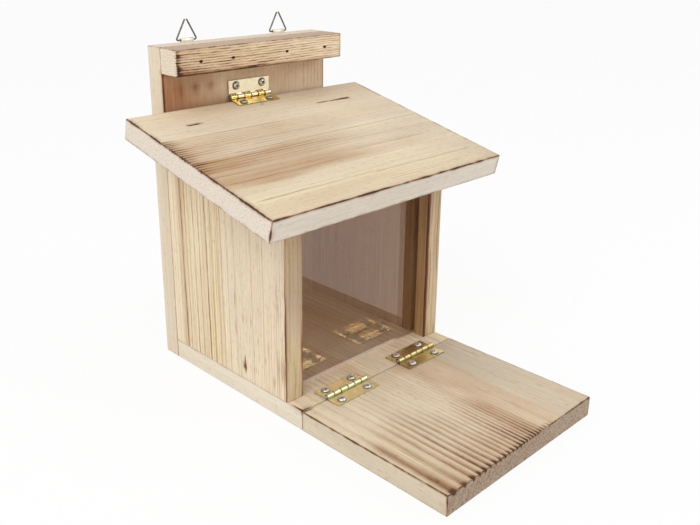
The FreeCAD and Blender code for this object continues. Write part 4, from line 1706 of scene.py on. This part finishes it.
@dataclass
class HingeLeaf:
    """A pressed brass leaf: a plate with countersinks and three rolled knuckles.

    Attributes:
        hinge, part: The start and the end of its nodes' names.
        body: The body that it rides on.
        away, up: The directions away from the hinge line and out of the wood.
        brass: Its metal.
        first: The number of its first knuckle from the left.
        flank_shade: How much painted shade darkens the knuckles' lower sides.
        length, reach, sheet: Its length, how far it reaches from the hinge line, and its
            thickness.
        rise: The height of the hinge line over its underside.
        knuckles: How many knuckles the two leaves have.
        knuckle, bore: The radii of a knuckle and its bore.
        gap: The gap between knuckles.
        notch: Where the plate starts beside the other leaf's knuckles.
        corner, ease: The radii of its corners and its edges.
        knuckle_ease: The radius of a knuckle's ends.
        screw_along, screw_out: Where its screws are along the hinge line and out from it.
        sink, sink_depth: The radius and depth of a countersink.
        place: The middle of the hinge line, and the directions along it, away and up.
    """

    hinge: str
    part: str
    body: Body
    away: Direction
    up: Direction
    brass: Metal
    first: int
    flank_shade: float = 0.0
    length: float = 38.0
    reach: float = 12.0
    sheet: float = 0.8
    rise: float = 1.9
    knuckles: int = 6
    knuckle: float = 1.7
    bore: float = 0.9
    gap: float = 0.2
    notch: float = 2.1
    corner: float = 0.8
    ease: float = 0.16
    knuckle_ease: float = 0.12
    screw_along: tuple[float, float] = (-12.0, 12.0)
    screw_out: float = 7.8
    sink: float = 3.6
    sink_depth: float = 0.35
    place: Placing = field(init=False)

    def __post_init__(self) -> None:
        """Place the leaf by its hinge's pin."""
        low, high = node_box(f"{self.hinge}_pin")
        self.place = Placing((low + high) / 2, np.array([(1.0, 0.0, 0.0), self.away, self.up]), high - low)

    def plate(self) -> tuple[Array, list[Array], Array]:
        """Press the plate, a softened box whose top sinks in a cone round each screw.

        Returns:
            Its points, its faces and its painted shade: in the countersinks round the screws and beside the
            knuckles, with a darker rim.
        """
        size = np.array([self.length, self.reach - self.notch, self.sheet])
        lines = [stations(size[0], 0.45), stations(size[1], 0.45), np.linspace(0, size[2], 7)]
        sharp, faces = box_shell(lines)
        points = softened(softened(sharp, size, self.corner, (0, 1)), size, self.ease)
        along = points[:, 0] - self.length / 2
        away = points[:, 1] + self.notch
        near = np.minimum(*[np.hypot(along - x, away - self.screw_out) for x in self.screw_along])
        cone = self.sink_depth * fade(near, self.sink * 0.55, self.sink)
        height = points[:, 2] - cone * points[:, 2] / self.sheet
        rim = np.minimum(np.minimum(points[:, 0], size[0] - points[:, 0]), size[1] - points[:, 1])
        # painted shade in the countersinks and beside the knuckles; the rim is darkened too
        shade_and_soil = 0.5 * fade(near, self.sink * 0.84, self.sink) + 0.3 * fade(points[:, 1], 0, 0.7)
        shade_and_soil = np.maximum(shade_and_soil, 0.55 * fade(rim, 0.1, 0.55))
        return np.column_stack([along, away, height - self.rise]), [faces], shade_and_soil

    def curl(self) -> Array:
        """Draw the middle line of a knuckle's sheet.

        It runs in level from the plate, bends onto a circle about the pin between the two
        radii, and follows it round to just above the plate.

        Returns:
            Rows of (away, up).
        """
        radius = (self.knuckle + self.bore) / 2
        middle = self.sheet / 2 - self.rise
        lead = np.linspace(self.notch + 0.4, 0.35, 8)
        drop = middle + (-radius - middle) * fade(lead, 0.3, self.notch)
        angle = np.linspace(-0.5 * np.pi, -2.17 * np.pi, 40)
        circle = np.column_stack([radius * np.cos(angle), radius * np.sin(angle)])
        return np.concatenate([np.column_stack([lead, drop]), circle])

    def rolled(self, start: float, stop: float) -> tuple[Array, list[Array], Array]:
        """Roll one knuckle, darkened with painted shade low on its side and at its two ends, by the gaps
        between knuckles.

        Args:
            start, stop: Where it starts and stops along the hinge line.

        Returns:
            Its points, its faces and its painted shade.
        """
        edges = np.array([0.0, 0.04, self.knuckle_ease, 0.45, 0.8])
        sides = np.array([self.knuckle_ease, 0.04, 0.0, 0.0, 0.0])
        spans = np.concatenate([start + edges, (stop - edges)[::-1]])
        half = (self.knuckle - self.bore) / 2
        points, faces = ribbon(self.curl(), half, spans, np.concatenate([sides, sides[::-1]]))
        # painted shade on the knuckle's lower flank and at its ends, by the gaps between knuckles
        under = self.flank_shade * fade(points[:, 2], 0.1 * self.knuckle, 0.75 * self.knuckle)
        ends = 0.9 * fade(np.minimum(points[:, 0] - start, stop - points[:, 0]), 0.2, 0.65)
        return points, faces, np.maximum(under, ends)

    def build(self) -> None:
        """Make the leaf: its plate and every second knuckle."""
        shells = Shells()
        parts = [self.plate()]
        pitch = self.length / self.knuckles
        for number in range(self.first, self.knuckles, 2):
            start = -self.length / 2 + number * pitch + self.gap / 2
            parts.append(self.rolled(start, start + pitch - self.gap))
        for points, faces, shade_and_soil in parts:
            shells.add(self.place.out(points), faces, shade_and_soil, self.place.is_mirrored())
        node = f"{self.hinge}_{self.part}_leaf"
        settle(shells.make(f"brass_{node}"), self.brass.make(), self.body, node)

    def fixing(self, seed: int) -> Fixing:
        """Return the leaf's screws."""
        seats = [self.place.out(np.array([along, self.screw_out, self.sheet - self.rise]))
                 for along in self.screw_along]
        return Fixing(f"{self.hinge}_{self.part}_screws", self.body, PanScrew(), seats, self.up, seed)


@dataclass
class Hinge:
    """A butt hinge: two leaves, their pin and their screws.

    Attributes:
        name: The start of its nodes' names.
        leaves: Its fixed leaf and its moving leaf.
        steel: The metal of its screws and its pin.
        seed: The seed of its screws.
        radius: The pin's radius.
        dome: How far the pin's ends are rounded.
    """

    name: str
    leaves: tuple[HingeLeaf, HingeLeaf]
    steel: Metal
    seed: int
    radius: float = 0.85
    dome: float = 0.25

    def pin(self, metal: bpy.types.Material) -> None:
        """Make the pin, a rod with rounded ends.

        Args:
            metal: Its finish.
        """
        low, high = node_box(f"{self.name}_pin")
        half = (high[0] - low[0]) / 2
        turn = np.linspace(0, np.pi / 2, 6)
        cap = np.column_stack([self.radius - self.dome * (1 - np.sin(turn)), -self.dome * np.cos(turn)])
        lower = cap + (0, self.dome - half)
        upper = (cap * (1, -1) + (0, half - self.dome))[::-1]
        shank = [(self.radius, height) for height in np.linspace(-half + 1, half - 1, 20)]
        points, faces = spun(np.concatenate([[(0, -half)], lower, shank, upper, [(0, half)]]), 32)
        placed = points[:, [2, 0, 1]] + (low + high) / 2
        piece = make_piece(f"brass_{self.name}_pin", placed, faces, {"shade_and_soil": np.full(len(points), 0.25)})
        settle(piece, metal, Body.BOX, f"{self.name}_pin")

    def build(self) -> None:
        """Make the hinge."""
        steel = self.steel.make()
        for number, leaf in enumerate(self.leaves):
            leaf.build()
            leaf.fixing(self.seed + number).build(steel)
        self.pin(steel)


@dataclass
class Hanger:
    """A hanger behind the top edge: a strap, the wire triangle in it, and two screws.

    Attributes:
        name: The start of its nodes' names.
        body: The body of its ring.
        seed: The seed of its screws.
        sheet, width: The strap's thickness and width.
        bore: The radius of the strap's curl inside.
        corner, ease: The radii of the strap's lower corners and its edges.
        wire, bend: The wire's radius and the radius of its bends.
        wire_steps: How many steps the circle round the wire has.
        base, height: The triangle's width and height, both to the wire's middle.
        tip_gap: The gap between the wire's two ends.
        screw_places: How far the screws are under the ring's line.
        screw: The kind of screw.
        line: The middle of the line that the ring turns about.
        foot: The strap's lowest corner in space, on its outer face.
    """

    name: str
    body: Body
    seed: int
    sheet: float = 0.8
    width: float = 10.0
    bore: float = 0.68
    corner: float = 2.0
    ease: float = 0.1
    wire: float = 0.6
    bend: float = 1.0
    wire_steps: int = 18
    base: float = 17.5
    height: float = 14.2
    tip_gap: float = 0.4
    screw_places: tuple[float, float] = (8.0, 18.0)
    screw: PanScrew = PanScrew(2.1, 1.3, 0.4, 0.9, 9.0, 1.6, 1.2, 0.3, 0.7, 0.9, 0.2)
    line: Array = field(init=False)
    foot: Array = field(init=False)

    def __post_init__(self) -> None:
        """Find the hanger's places from its ring and its strap."""
        low, high = node_box(f"{self.name}_ring")
        self.line = np.array([(low[0] + high[0]) / 2, (low[1] + high[1]) / 2, low[2] + self.wire])
        self.foot, _ = node_box(f"{self.name}_plate")

    def strap(self, metal: bpy.types.Material) -> None:
        """Make the strap, which runs up the rear face and curls round the wire.

        Its lower corners are cut back by r - sqrt(r ** 2 - (r - z) ** 2) at the height z.

        Args:
            metal: Its finish.
        """
        radius = self.bore + self.sheet / 2
        _, face, foot = self.foot - self.line
        rise = np.linspace(foot, 0.0, 30)
        run = np.column_stack([np.full_like(rise, face + self.sheet / 2), rise])
        angle = np.linspace(np.pi, -0.42 * np.pi, 26)[1:]
        circle = np.column_stack([radius * np.cos(angle), radius * np.sin(angle)])
        half, ease = self.width / 2, self.ease
        spans = np.array([-half, -half + ease, half - ease, half])
        path = np.concatenate([run, circle])
        points, faces = ribbon(path, self.sheet / 2, spans, np.array([ease, 0, 0, ease]))
        above = np.clip(points[:, 2] - foot, 0, self.corner)
        trim = self.corner - np.sqrt(self.corner ** 2 - (self.corner - above) ** 2)
        points[:, 0] -= np.sign(points[:, 0]) * trim
        clean = {"shade_and_soil": np.zeros(len(points))}
        piece = make_piece(f"brass_{self.name}_plate", points + self.line, faces, clean)
        settle(piece, metal, Body.BOX, f"{self.name}_plate")

    def path(self) -> Array:
        """Draw the wire's middle line, from one tip to the other.

        An arc of radius r at a corner whose lines p and q make the angle a has its middle
        r / sin(a / 2) from the corner, towards p + q, and turns through 180 degrees less a.

        Returns:
            Rows of (across, up).
        """
        tip = np.array([self.wire + self.tip_gap / 2, self.height])
        corner = np.array([self.base / 2, 0.0])
        leg = (tip - corner) / np.linalg.norm(tip - corner)
        inward = np.array([-1.0, 0.0])
        half = math.acos(leg @ inward) / 2
        towards = (leg + inward) / np.linalg.norm(leg + inward)
        middle = corner + towards * self.bend / math.sin(half)
        sweep = np.linspace(-np.pi / 2, np.pi / 2 - 2 * half, 12)
        arc = middle + self.bend * np.column_stack([np.cos(sweep), np.sin(sweep)])
        flat = np.column_stack([np.linspace(0, arc[0, 0], 8)[:-1], np.zeros(7)])
        right = np.concatenate([flat, arc, np.linspace(arc[-1], tip, 16)[1:]])
        return np.concatenate([(right * (-1, 1))[::-1], right[1:]])

    def ring(self, metal: bpy.types.Material) -> None:
        """Make the wire: circles of its radius square to its line, with rounded cut ends.

        Args:
            metal: Its finish.
        """
        path = self.path()
        tangent = directions(path)
        path = np.concatenate([[path[0] - tangent[0] * 0.1], path, [path[-1] + tangent[-1] * 0.1]])
        tangent = np.concatenate([tangent[:1], tangent, tangent[-1:]])
        radii = np.full(len(path), self.wire)
        radii[[0, -1]] = self.wire * 0.82
        angle = np.arange(self.wire_steps) * 2 * np.pi / self.wire_steps
        out = radii[:, None] * np.cos(angle)
        loops = np.stack([
            path[:, :1] - tangent[:, 1:] * out,
            radii[:, None] * np.sin(angle),
            path[:, 1:] + tangent[:, :1] * out,
        ], axis=-1)
        points, faces = capped(loops, (path[0, 0], 0, path[0, 1]), (path[-1, 0], 0, path[-1, 1]))
        clean = {"shade_and_soil": np.zeros(len(points))}
        piece = make_piece(f"wire_{self.name}_ring", points + self.line, faces, clean)
        settle(piece, metal, self.body, f"{self.name}_ring")

    def build(self, wire: bpy.types.Material, plate: bpy.types.Material, steel: bpy.types.Material) -> None:
        """Make the hanger.

        Args:
            wire, plate, steel: The finishes of its ring, its strap and its screws.
        """
        self.ring(wire)
        self.strap(plate)
        across, _, up = self.line
        seats = [np.array([across, self.foot[1] + self.sheet, up - place]) for place in self.screw_places]
        rearward = (0.0, 1.0, 0.0)
        Fixing(f"{self.name}_screws", Body.BOX, self.screw, seats, rearward, self.seed).build(steel)


def dress_nails(metal: bpy.types.Material) -> None:
    """Give the nails their finish."""
    for node in ("batten_nails", "back_board_nails", "floor_board_nails"):
        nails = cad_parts[node]
        nails.data.materials.clear()
        nails.data.materials.append(metal)
        LOG.info("%s: dressed", node)


@dataclass
class Joinery:
    """The six boards and the batten.

    Attributes:
        slope: The roof's angle.
        roof_length, roof_thick: The roof's size down its slope and its thickness.
        groove_inset, groove_width: How far the window's groove is behind a side's front edge,
            and its width.
        nail_head: The radius of a nail's head.
        nail_inset: How far a nail in a side is from that side's end.
        floor_nail: How far the nails in the floor board's rear end are from the middle.
    """

    slope: float = math.radians(13.0)
    roof_length: float = 151.5
    roof_thick: float = 15.0
    groove_inset: float = 9.2
    groove_width: float = 4.8
    nail_head: float = 1.3
    nail_inset: float = 28.0
    floor_nail: float = 35.0

    def boards(self) -> list[Board]:
        """Lay out every board, the floor with the platform's rings.

        Returns:
            The boards, in the order in which they are made.
        """
        furrows = RingTable(
            (0, 12, 21, 28, 50, 60, 70, 85, 94, 112, 150),
            (11, 10.5, 7.2, 5.6, 5.0, 4.1, 3.5, 2.8, 2.5, 5.5, 8), 6.7, 0.10, 5)
        return [
            self.roof(), self.platform(furrows), self.floor(furrows), self.back(), self.batten(),
            self.side("left", -1, 67), self.side("right", 1, 71),
        ]

    def roof(self) -> Board:
        """Lay out the roof, with the cracks and lines of its top.

        Returns:
            The roof.
        """
        rings = RingTable(
            (0, 36, 42, 84, 92, 112, 132, 141, 151), (8, 6, 2.8, 2.8, 5, 7, 8, 2.6, 2.6), 0.0, 0.25, 7)
        strokes = (
            Stroke(33, 42, 24.2, 2.2, 1.5, soft=1.6, cut=0.7),
            Stroke(159, 181, 24.8, 2.8, 1.5, 0.3, taper=0.5, soft=2.4, cut=0.6),
            Stroke(149, 157, 24.8, 1.6, 0.8, soft=1.6, cut=0.3),
            Stroke(105.4, 107, 12.4, 1.6, 1.1, soft=0.8),
            Stroke(3, 96, 76.6, 1.5, 0.6, 0.4, taper=-0.5, soft=6),
            Stroke(60, 112, 79.6, 1.3, 0.35, 0.6),
            Stroke(2, 56, 95.2, 1.5, 0.6, 0.3, taper=-0.4),
            Stroke(10, 116, 105.8, 1.3, 0.5, 0.8, taper=-0.4),
            Stroke(14, 100, 129.6, 1.3, 0.5, 0.5, taper=-0.5),
            Stroke(40, 208, 71.0, 0.9, 0.32, -0.8),
            Stroke(30, 120, 58.5, 0.9, 0.3, 0.5),
            Stroke(120, 182, 99.3, 1.1, 0.32, 0.3),
            Stroke(108, 196, 131.2, 1.4, 0.3, 0.8),
            Stroke(20, 90, 41.4, 0.9, 0.3, 0.6),
            Stroke(126, 205, 86.0, 0.9, 0.22, 0.5),
        )
        finish = FlamedWood("roof_pine", early=tone(230, 214, 188), toasted=tone(182, 146, 108),
                            bare=tone(224, 215, 201), faded=tone(218, 208, 195), end=tone(223, 211, 196),
                            pores=0.26, end_lines=0.02, hair=0.13, streaky=0.3)
        place = Placing.of_slope("roof_board", self.slope, self.roof_length, self.roof_thick)
        return RoofBoard("roof_board", Body.ROOF, finish, place, rings, 11, (2.6, 0.44, 1.2),
                         singe=1.0, singe_reach=0.95, singed=(1.0, 1.0, 0.3, 1.0, 0.5, 1.0), lean=0.6,
                         strokes=strokes)

    def platform(self, rings: RingTable) -> Board:
        """Lay out the platform.

        Args:
            rings: Its growth rings.

        Returns:
            The platform.
        """
        strokes = (
            Stroke(4, 30, 141.5, 1.0, 0.3, 0.6, soft=5),
            Stroke(18, 70, 127.6, 0.8, 0.2, 0.4),
            Stroke(60, 117, 104.6, 1.0, 0.3, 0.4),
        )
        finish = FlamedWood("platform_pine", early=tone(234, 217, 189), toasted=tone(180, 143, 106),
                            scorched=tone(138, 100, 68), burnt=tone(74, 49, 33), grey=tone(196, 182, 162),
                            end=tone(168, 150, 130), bare=tone(208, 194, 170), faded=tone(216, 202, 180),
                            pores=0.85, end_lines=0.04, streaky=0.35)
        place = Placing.of_box("platform_board", (0, -1, 0), (1, 0, 0), (0, 0, 1))
        return PlatformBoard("platform_board", Body.PLATFORM, finish, place, rings, 23, (1.6, 0.4, 0.9),
                             singe=0.95, singe_reach=0.65, singed=(0.22, 1.0, 1.0, 1.0, 0.5, 1.0),
                             lean=0.5, strokes=strokes)

    def floor(self, rings: RingTable) -> Board:
        """Lay out the floor board, whose underside shows four nails.

        Args:
            rings: Its growth rings.

        Returns:
            The floor board.
        """
        finish = FlamedWood("floor_pine", early=tone(236, 218, 188), toasted=tone(176, 136, 98),
                            bare=tone(230, 220, 201), faded=tone(226, 215, 196))
        place = Placing.of_box("floor_board", (0, -1, 0), (1, 0, 0), (0, 0, 1))
        low, high = node_box("floor_board_nails")
        edge = self.nail_head
        nails = tuple((place.origin[1] - y, x - place.origin[0])
                      for x in (low[0] + edge, high[0] - edge) for y in (low[1] + edge, high[1] - edge))
        return FloorBoard("floor_board", Body.BOX, finish, place, rings, 31, (3.5, 0.5, 1.2), singe=0.7,
                          singed=(0.4, 0.28, 0.35, 0.35, 0.5, 1.0), lean=0.5, nails=self.hidden_row(nails))

    def hidden_row(self, places: tuple[tuple[float, float], ...]) -> NailRow:
        """Return nails in a board's inner face: the back board's rear or the floor's underside."""
        return NailRow(Side.INNER, places, self.nail_head + 0.05, 0.46)

    def back(self) -> Board:
        """Lay out the back board, whose rear shows six nails.

        Returns:
            The back board.
        """
        finish = FlamedWood("back_pine", early=tone(230, 212, 182), toasted=tone(188, 146, 106),
                            scorched=tone(150, 92, 60), burnt=tone(82, 48, 34), bare=tone(221, 204, 177),
                            grey=tone(208, 192, 168), yellow=tone(228, 208, 166), hair=0.07, streaky=0.1,
                            fibrous=0.6)
        place = Placing.of_box("back_board", (0, 0, 1), (1, 0, 0), (0, -1, 0))
        low, high = node_box("back_board_nails")
        edge = self.nail_head
        heights = (node_box("floor_board")[1][2] + self.nail_inset, high[2] - edge)
        in_sides = [(z, x) for x in (low[0] + edge, high[0] - edge) for z in heights]
        in_floor = [(low[2] + edge, x) for x in (-self.floor_nail, self.floor_nail)]
        nails = tuple((z - place.origin[2], x - place.origin[0]) for z, x in in_sides + in_floor)
        rings = RingTable((0, 50, 90, 150), (4.5, 7, 5, 3), 0.0, 0.3, 9)
        return BackBoard(
            "back_board", Body.BOX, finish, place, rings, 47, (4.0, 0.55, 1.2), singe=0.6,
            singed=(0.5, 1.0, 0.6, 0.8, 0.5, 1.0), lean=0.9, nails=self.hidden_row(nails),
            knots=((199.5, 15.0, 0.16), (200.0, 27.0, 0.5), (200.0, 40.0, 0.45), (70.0, 96.0, 0.7)),
        )

    def batten(self) -> Board:
        """Lay out the batten, whose front shows four nails.

        Returns:
            The batten.
        """
        finish = FlamedWood("batten_pine", early=tone(244, 225, 193), late=tone(150, 106, 66),
                            toasted=tone(184, 144, 104), scorched=tone(136, 92, 58), burnt=tone(58, 36, 24),
                            bare=tone(188, 164, 142), faded=tone(180, 156, 132), end=tone(228, 214, 192),
                            hair=0.36, streaky=0.35)
        place = Placing.of_box("top_batten", (1, 0, 0), (0, 0, 1), (0, -1, 0))
        rings = RingTable((0, 9, 18), (2.0, 1.7, 2.0), 0.0, 0.35, 4)
        return Batten("top_batten", Body.BOX, finish, place, rings, 59, (0.9, 0.24, 0.9), arris=0.8,
                      singe=0.9, lean=0.05, nails=NailRow(Side.OUTER, self.batten_nails(), 1.4, closing=1.7))

    def batten_nails(self) -> tuple[tuple[float, float], ...]:
        """Find the batten's nails.

        Returns:
            Where they lie on its front face, from its left end and its lower edge.
        """
        low, high = node_box("top_batten")
        nails, _ = node_box("batten_nails")
        width = high[0] - low[0]
        middle = (high[2] - low[2]) / 2
        first = nails[0] + self.nail_head - low[0]
        return tuple((along, middle) for along in (first, 46.5, width - 54.5, width - 17.0))

    def side(self, name: str, hand: int, seed: int) -> SideBoard:
        """Lay out a side board, whose lines all drift a little to the rear as they rise.

        Args:
            name: Which side it is.
            hand: -1 for the left and 1 for the right.
            seed: The seed of its unevenness.

        Returns:
            The side board.
        """
        node = f"{name}_side_board"
        place = Placing.of_box(node, (0, 0, 1), (0, -1, 0), (hand, 0, 0))
        groove_front = place.size[1] - self.groove_inset
        rings = RingTable(
            (0, 20, 36, 56, 63, 80, 110, 125), (3.4, 3.1, 2.8, 3.0, 2.2, 1.8, 2.1, 2.4), 0.0, 0.35, seed)
        lines = (
            (12.4, 0.9, 0.3), (15.6, 1.7, 0.62), (20.2, 0.9, 0.36), (24.6, 0.9, 0.24), (29.4, 1.1, 0.45),
            (35.4, 0.9, 0.38), (39.8, 0.8, 0.26), (43.6, 1.3, 0.56), (49.6, 1.0, 0.46), (55.6, 0.9, 0.3),
            (60.6, 1.0, 0.36), (67.0, 0.8, 0.28), (74.5, 0.8, 0.22), (92.0, 0.8, 0.26), (104.0, 0.8, 0.2),
        )
        strokes = tuple(Stroke(-30, 200, across, width, 1.2 * strength, -2.8)
                        for across, width, strength in lines)
        if hand < 0:
            strokes += (Stroke(11, 20, 81.2, 3.0, 1.4, 0.4, taper=-0.3, soft=2.0, cut=0.7),
                        Stroke(8, 12, 81.9, 1.6, 0.9, soft=1.5, cut=0.5))
            bare, faded = tone(194, 170, 130), tone(186, 164, 136)
        else:
            strokes += (Stroke(119, 128, 44.0, 2.4, 1.4, soft=2.0, cut=0.6),)
            bare, faded = tone(204, 180, 146), tone(192, 168, 134)
        finish = FlamedWood(f"{name}_side_pine", early=tone(238, 222, 192), late=tone(150, 116, 76),
                            toasted=tone(192, 158, 110), scorched=tone(146, 100, 62), burnt=tone(86, 52, 34),
                            bare=bare, faded=faded, grey=tone(221, 207, 186), hair=0.28)
        return SideBoard(node, Body.BOX, finish, place, rings, seed, (3.0, 0.42, 0.6), singe=0.9,
                         singed=(0.25, 1.0, 0.2, 0.5, 0.6, 1.0), lean=0.3, strokes=strokes, slope=self.slope,
                         groove=(groove_front - self.groove_width, groove_front),
                         streaks=0.7 if hand < 0 else 1.3,
                         dark_to=60.0 if hand < 0 else 180.0)


@dataclass
class Studio:
    """A plain pale floor, soft lamps and the camera.

    Attributes:
        eye: Where the camera stands, in millimetres.
        azimuth, elevation, roll: Where it looks, in degrees. At azimuth 0 it looks along +Y.
        lens: Its focal length on a sensor 36 mm wide.
        shift: How far its frame is shifted, in widths of the frame.
        ambient: The strength of the light from all round.
        floor_radius, floor_depth: The size of the floor.
        floor_glow: How much of the floor shows as white, and not as lit and shaded.
        target: The middle of the feeder in metres, where the lamps aim.
    """

    eye: tuple[float, float, float] = (-389.04, -430.25, 306.14)
    azimuth: float = -45.06
    elevation: float = 18.98
    roll: float = 0.58
    lens: float = 43.61
    shift: tuple[float, float] = (0.0027, -0.0609)
    ambient: float = 0.70
    floor_radius: float = 6000.0
    floor_depth: float = 2.0
    floor_glow: float = 0.88
    target: Direction = (0.0, -0.05, 0.1)

    def camera(self) -> None:
        """Make the camera."""
        azimuth, elevation = math.radians(self.azimuth), math.radians(self.elevation)
        ahead = Vector((
            -math.sin(azimuth) * math.cos(elevation),
            math.cos(azimuth) * math.cos(elevation),
            -math.sin(elevation),
        ))
        data = bpy.data.cameras.new("photo_camera")
        data.sensor_width = 36.0
        data.lens = self.lens
        data.shift_x, data.shift_y = self.shift
        data.clip_start, data.clip_end = 0.01, 50.0
        camera = bpy.data.objects.new("photo_camera", data)
        bpy.context.scene.collection.objects.link(camera)
        turned = ahead.to_track_quat("-Z", "Y").to_matrix().to_4x4()
        rolled = turned @ Matrix.Rotation(math.radians(self.roll), 4, "Z")
        camera.matrix_world = Matrix.Translation(Vector(self.eye) * MM) @ rolled
        bpy.context.scene.camera = camera

    def seen_directly(self, sheet: Sheet) -> Term:
        """Tell the rays that show a thing to the camera, straight, mirrored or through.

        Args:
            sheet: The node tree.

        Returns:
            1 for those rays and 0 for others.
        """
        kinds = ("Is Camera Ray", "Is Glossy Ray", "Is Transmission Ray")
        camera, glossy, through = [sheet.node("ShaderNodeLightPath", {}, {}, kind) for kind in kinds]
        return (camera + glossy + through).clipped()

    def floor(self) -> None:
        """Make the floor, a wide disc under the feeder that shows nearly white."""
        radius, under = self.floor_radius, -self.floor_depth
        points, faces = spun(np.array([(0, under), (radius, under), (radius, 0.0), (0, 0.0)]), 96)
        floor = make_piece("floor", points, faces, {})
        floor.data.polygons.foreach_set("use_smooth", np.zeros(len(floor.data.polygons), bool))
        material, sheet = new_material("pale_floor")
        plain = sheet.surface({"Base Color": tone(245, 245, 245), "Roughness": 0.9})
        glow = sheet.node("ShaderNodeEmission", {}, {"Color": (1, 1, 1, 1), "Strength": 1.0})
        share = self.seen_directly(sheet) * self.floor_glow
        sheet.finish(sheet.node("ShaderNodeMixShader", {}, {0: share, 1: plain, 2: glow}))
        floor.data.materials.append(material)

    def surroundings(self) -> None:
        """Light the feeder from all round, and show the surroundings as white."""
        world = bpy.data.worlds.new("studio")
        world.use_nodes = True
        bpy.context.scene.world = world
        sheet = Sheet(world.node_tree)
        strength = self.ambient + self.seen_directly(sheet) * (1.0 - self.ambient)
        inputs = {"Color": (1.0, 1.0, 1.0, 1.0), "Strength": strength}
        sheet.finish(sheet.node("ShaderNodeBackground", {}, inputs), "ShaderNodeOutputWorld")

    def lamp(self, name: str, place: Direction, size: float, power: float) -> None:
        """Make a soft square lamp that shines at the middle of the feeder.

        Args:
            name: Its name.
            place: Where it hangs, in metres.
            size: The length of its side, in metres.
            power: Its power, in watts.
        """
        data = bpy.data.lights.new(name, "AREA")
        data.size = size
        data.energy = power
        lamp = bpy.data.objects.new(name, data)
        lamp.location = place
        aim = Vector(self.target) - Vector(place)
        lamp.rotation_euler = aim.to_track_quat("-Z", "Y").to_euler()
        bpy.context.scene.collection.objects.link(lamp)

    def build(self) -> None:
        """Make the whole studio."""
        self.camera()
        self.floor()
        self.surroundings()
        self.lamp("key_lamp", (-1.3, -0.5, 1.5), 1.4, 17.0)
        self.lamp("front_lamp", (1.05, -1.3, 1.0), 0.6, 4.8)
        bpy.context.scene.view_settings.view_transform = "Standard"


def hinges() -> list[Hinge]:
    """Lay out the roof's hinge and the platform's two, in lit and shaded copies of the hinge brass.

    Returns:
        The hinges.
    """
    slope = Joinery().slope
    down = (0.0, -math.cos(slope), -math.sin(slope))
    off_roof = (0.0, -math.sin(slope), math.cos(slope))
    up, front, rear = (0.0, 0.0, 1.0), (0.0, -1.0, 0.0), (0.0, 1.0, 0.0)
    # lit and shaded copies: the cream and pale brasses are painted lighter and the brown brass darker than
    # the golden brass, and the dull zinc is the bright zinc painted darker
    cream = Metal("lit_cream_brass", tone(246, 234, 202), tone(228, 212, 172), tarnish=0.3)
    gold = Metal("golden_brass", tone(238, 214, 142), tone(196, 164, 96), 0.3, 0.06, tarnish=0.35)
    pale = Metal("lit_pale_brass", tone(253, 247, 196), tone(236, 224, 162), 0.4, 0.02, tarnish=0.3)
    brown = Metal("shaded_brown_brass", tone(228, 208, 150), tone(170, 144, 92), 0.34, 0.02, tarnish=0.5)
    dark = Metal("shaded_dull_zinc", tone(214, 206, 196), tone(128, 120, 110), 0.26, 0.16)
    bright = Metal("bright_zinc", tone(240, 234, 230), tone(178, 170, 164), 0.3, 0.12, tarnish=0.4)
    leaves = (HingeLeaf("roof_hinge", "upper", Body.BOX, up, front, cream, 1),
              HingeLeaf("roof_hinge", "roof", Body.ROOF, down, off_roof, gold, 0))
    made = [Hinge("roof_hinge", leaves, dark, 3)]
    for name, metal, seed in (("left_platform_hinge", pale, 5), ("right_platform_hinge", brown, 8)):
        # the 0.45 is the painted shade on each leaf's knuckle flanks
        leaves = (HingeLeaf(name, "floor", Body.BOX, rear, up, metal, 1, 0.45),
                  HingeLeaf(name, "platform", Body.PLATFORM, front, up, metal, 0, 0.45))
        made.append(Hinge(name, leaves, bright, seed))
    return made


def main() -> None:
    """Build the feeder and its studio, and log each piece's face count."""
    logging.basicConfig(level=logging.INFO, format="%(message)s")
    for board in Joinery().boards():
        board.build()
    Window(ClearSheet("clear_acrylic_sheet")).build()
    steel = Metal("zinc_plate", tone(240, 234, 230), tone(178, 170, 164), 0.3, 0.12, tarnish=0.4).make()
    wire = Metal("dull_wire", tone(118, 112, 98), tone(78, 72, 60), 0.4, 0.15, (60.0, 60.0, 60.0),
                 tarnish=0.8).make()
    plate = Metal("nickel_plate", tone(246, 242, 226), tone(214, 204, 176)).make()
    nail = Metal("nail_iron", tone(70, 54, 36), tone(38, 28, 19), 0.55, 0.25, spots=900.0).make()
    for hinge in hinges():
        hinge.build()
    for name, body, seed in (("left_hanger", Body.LEFT_RING, 13), ("right_hanger", Body.RIGHT_RING, 17)):
        Hanger(name, body, seed).build(wire, plate, steel)
    dress_nails(nail)
    Studio().build()


if __name__ == "__main__":
    main()
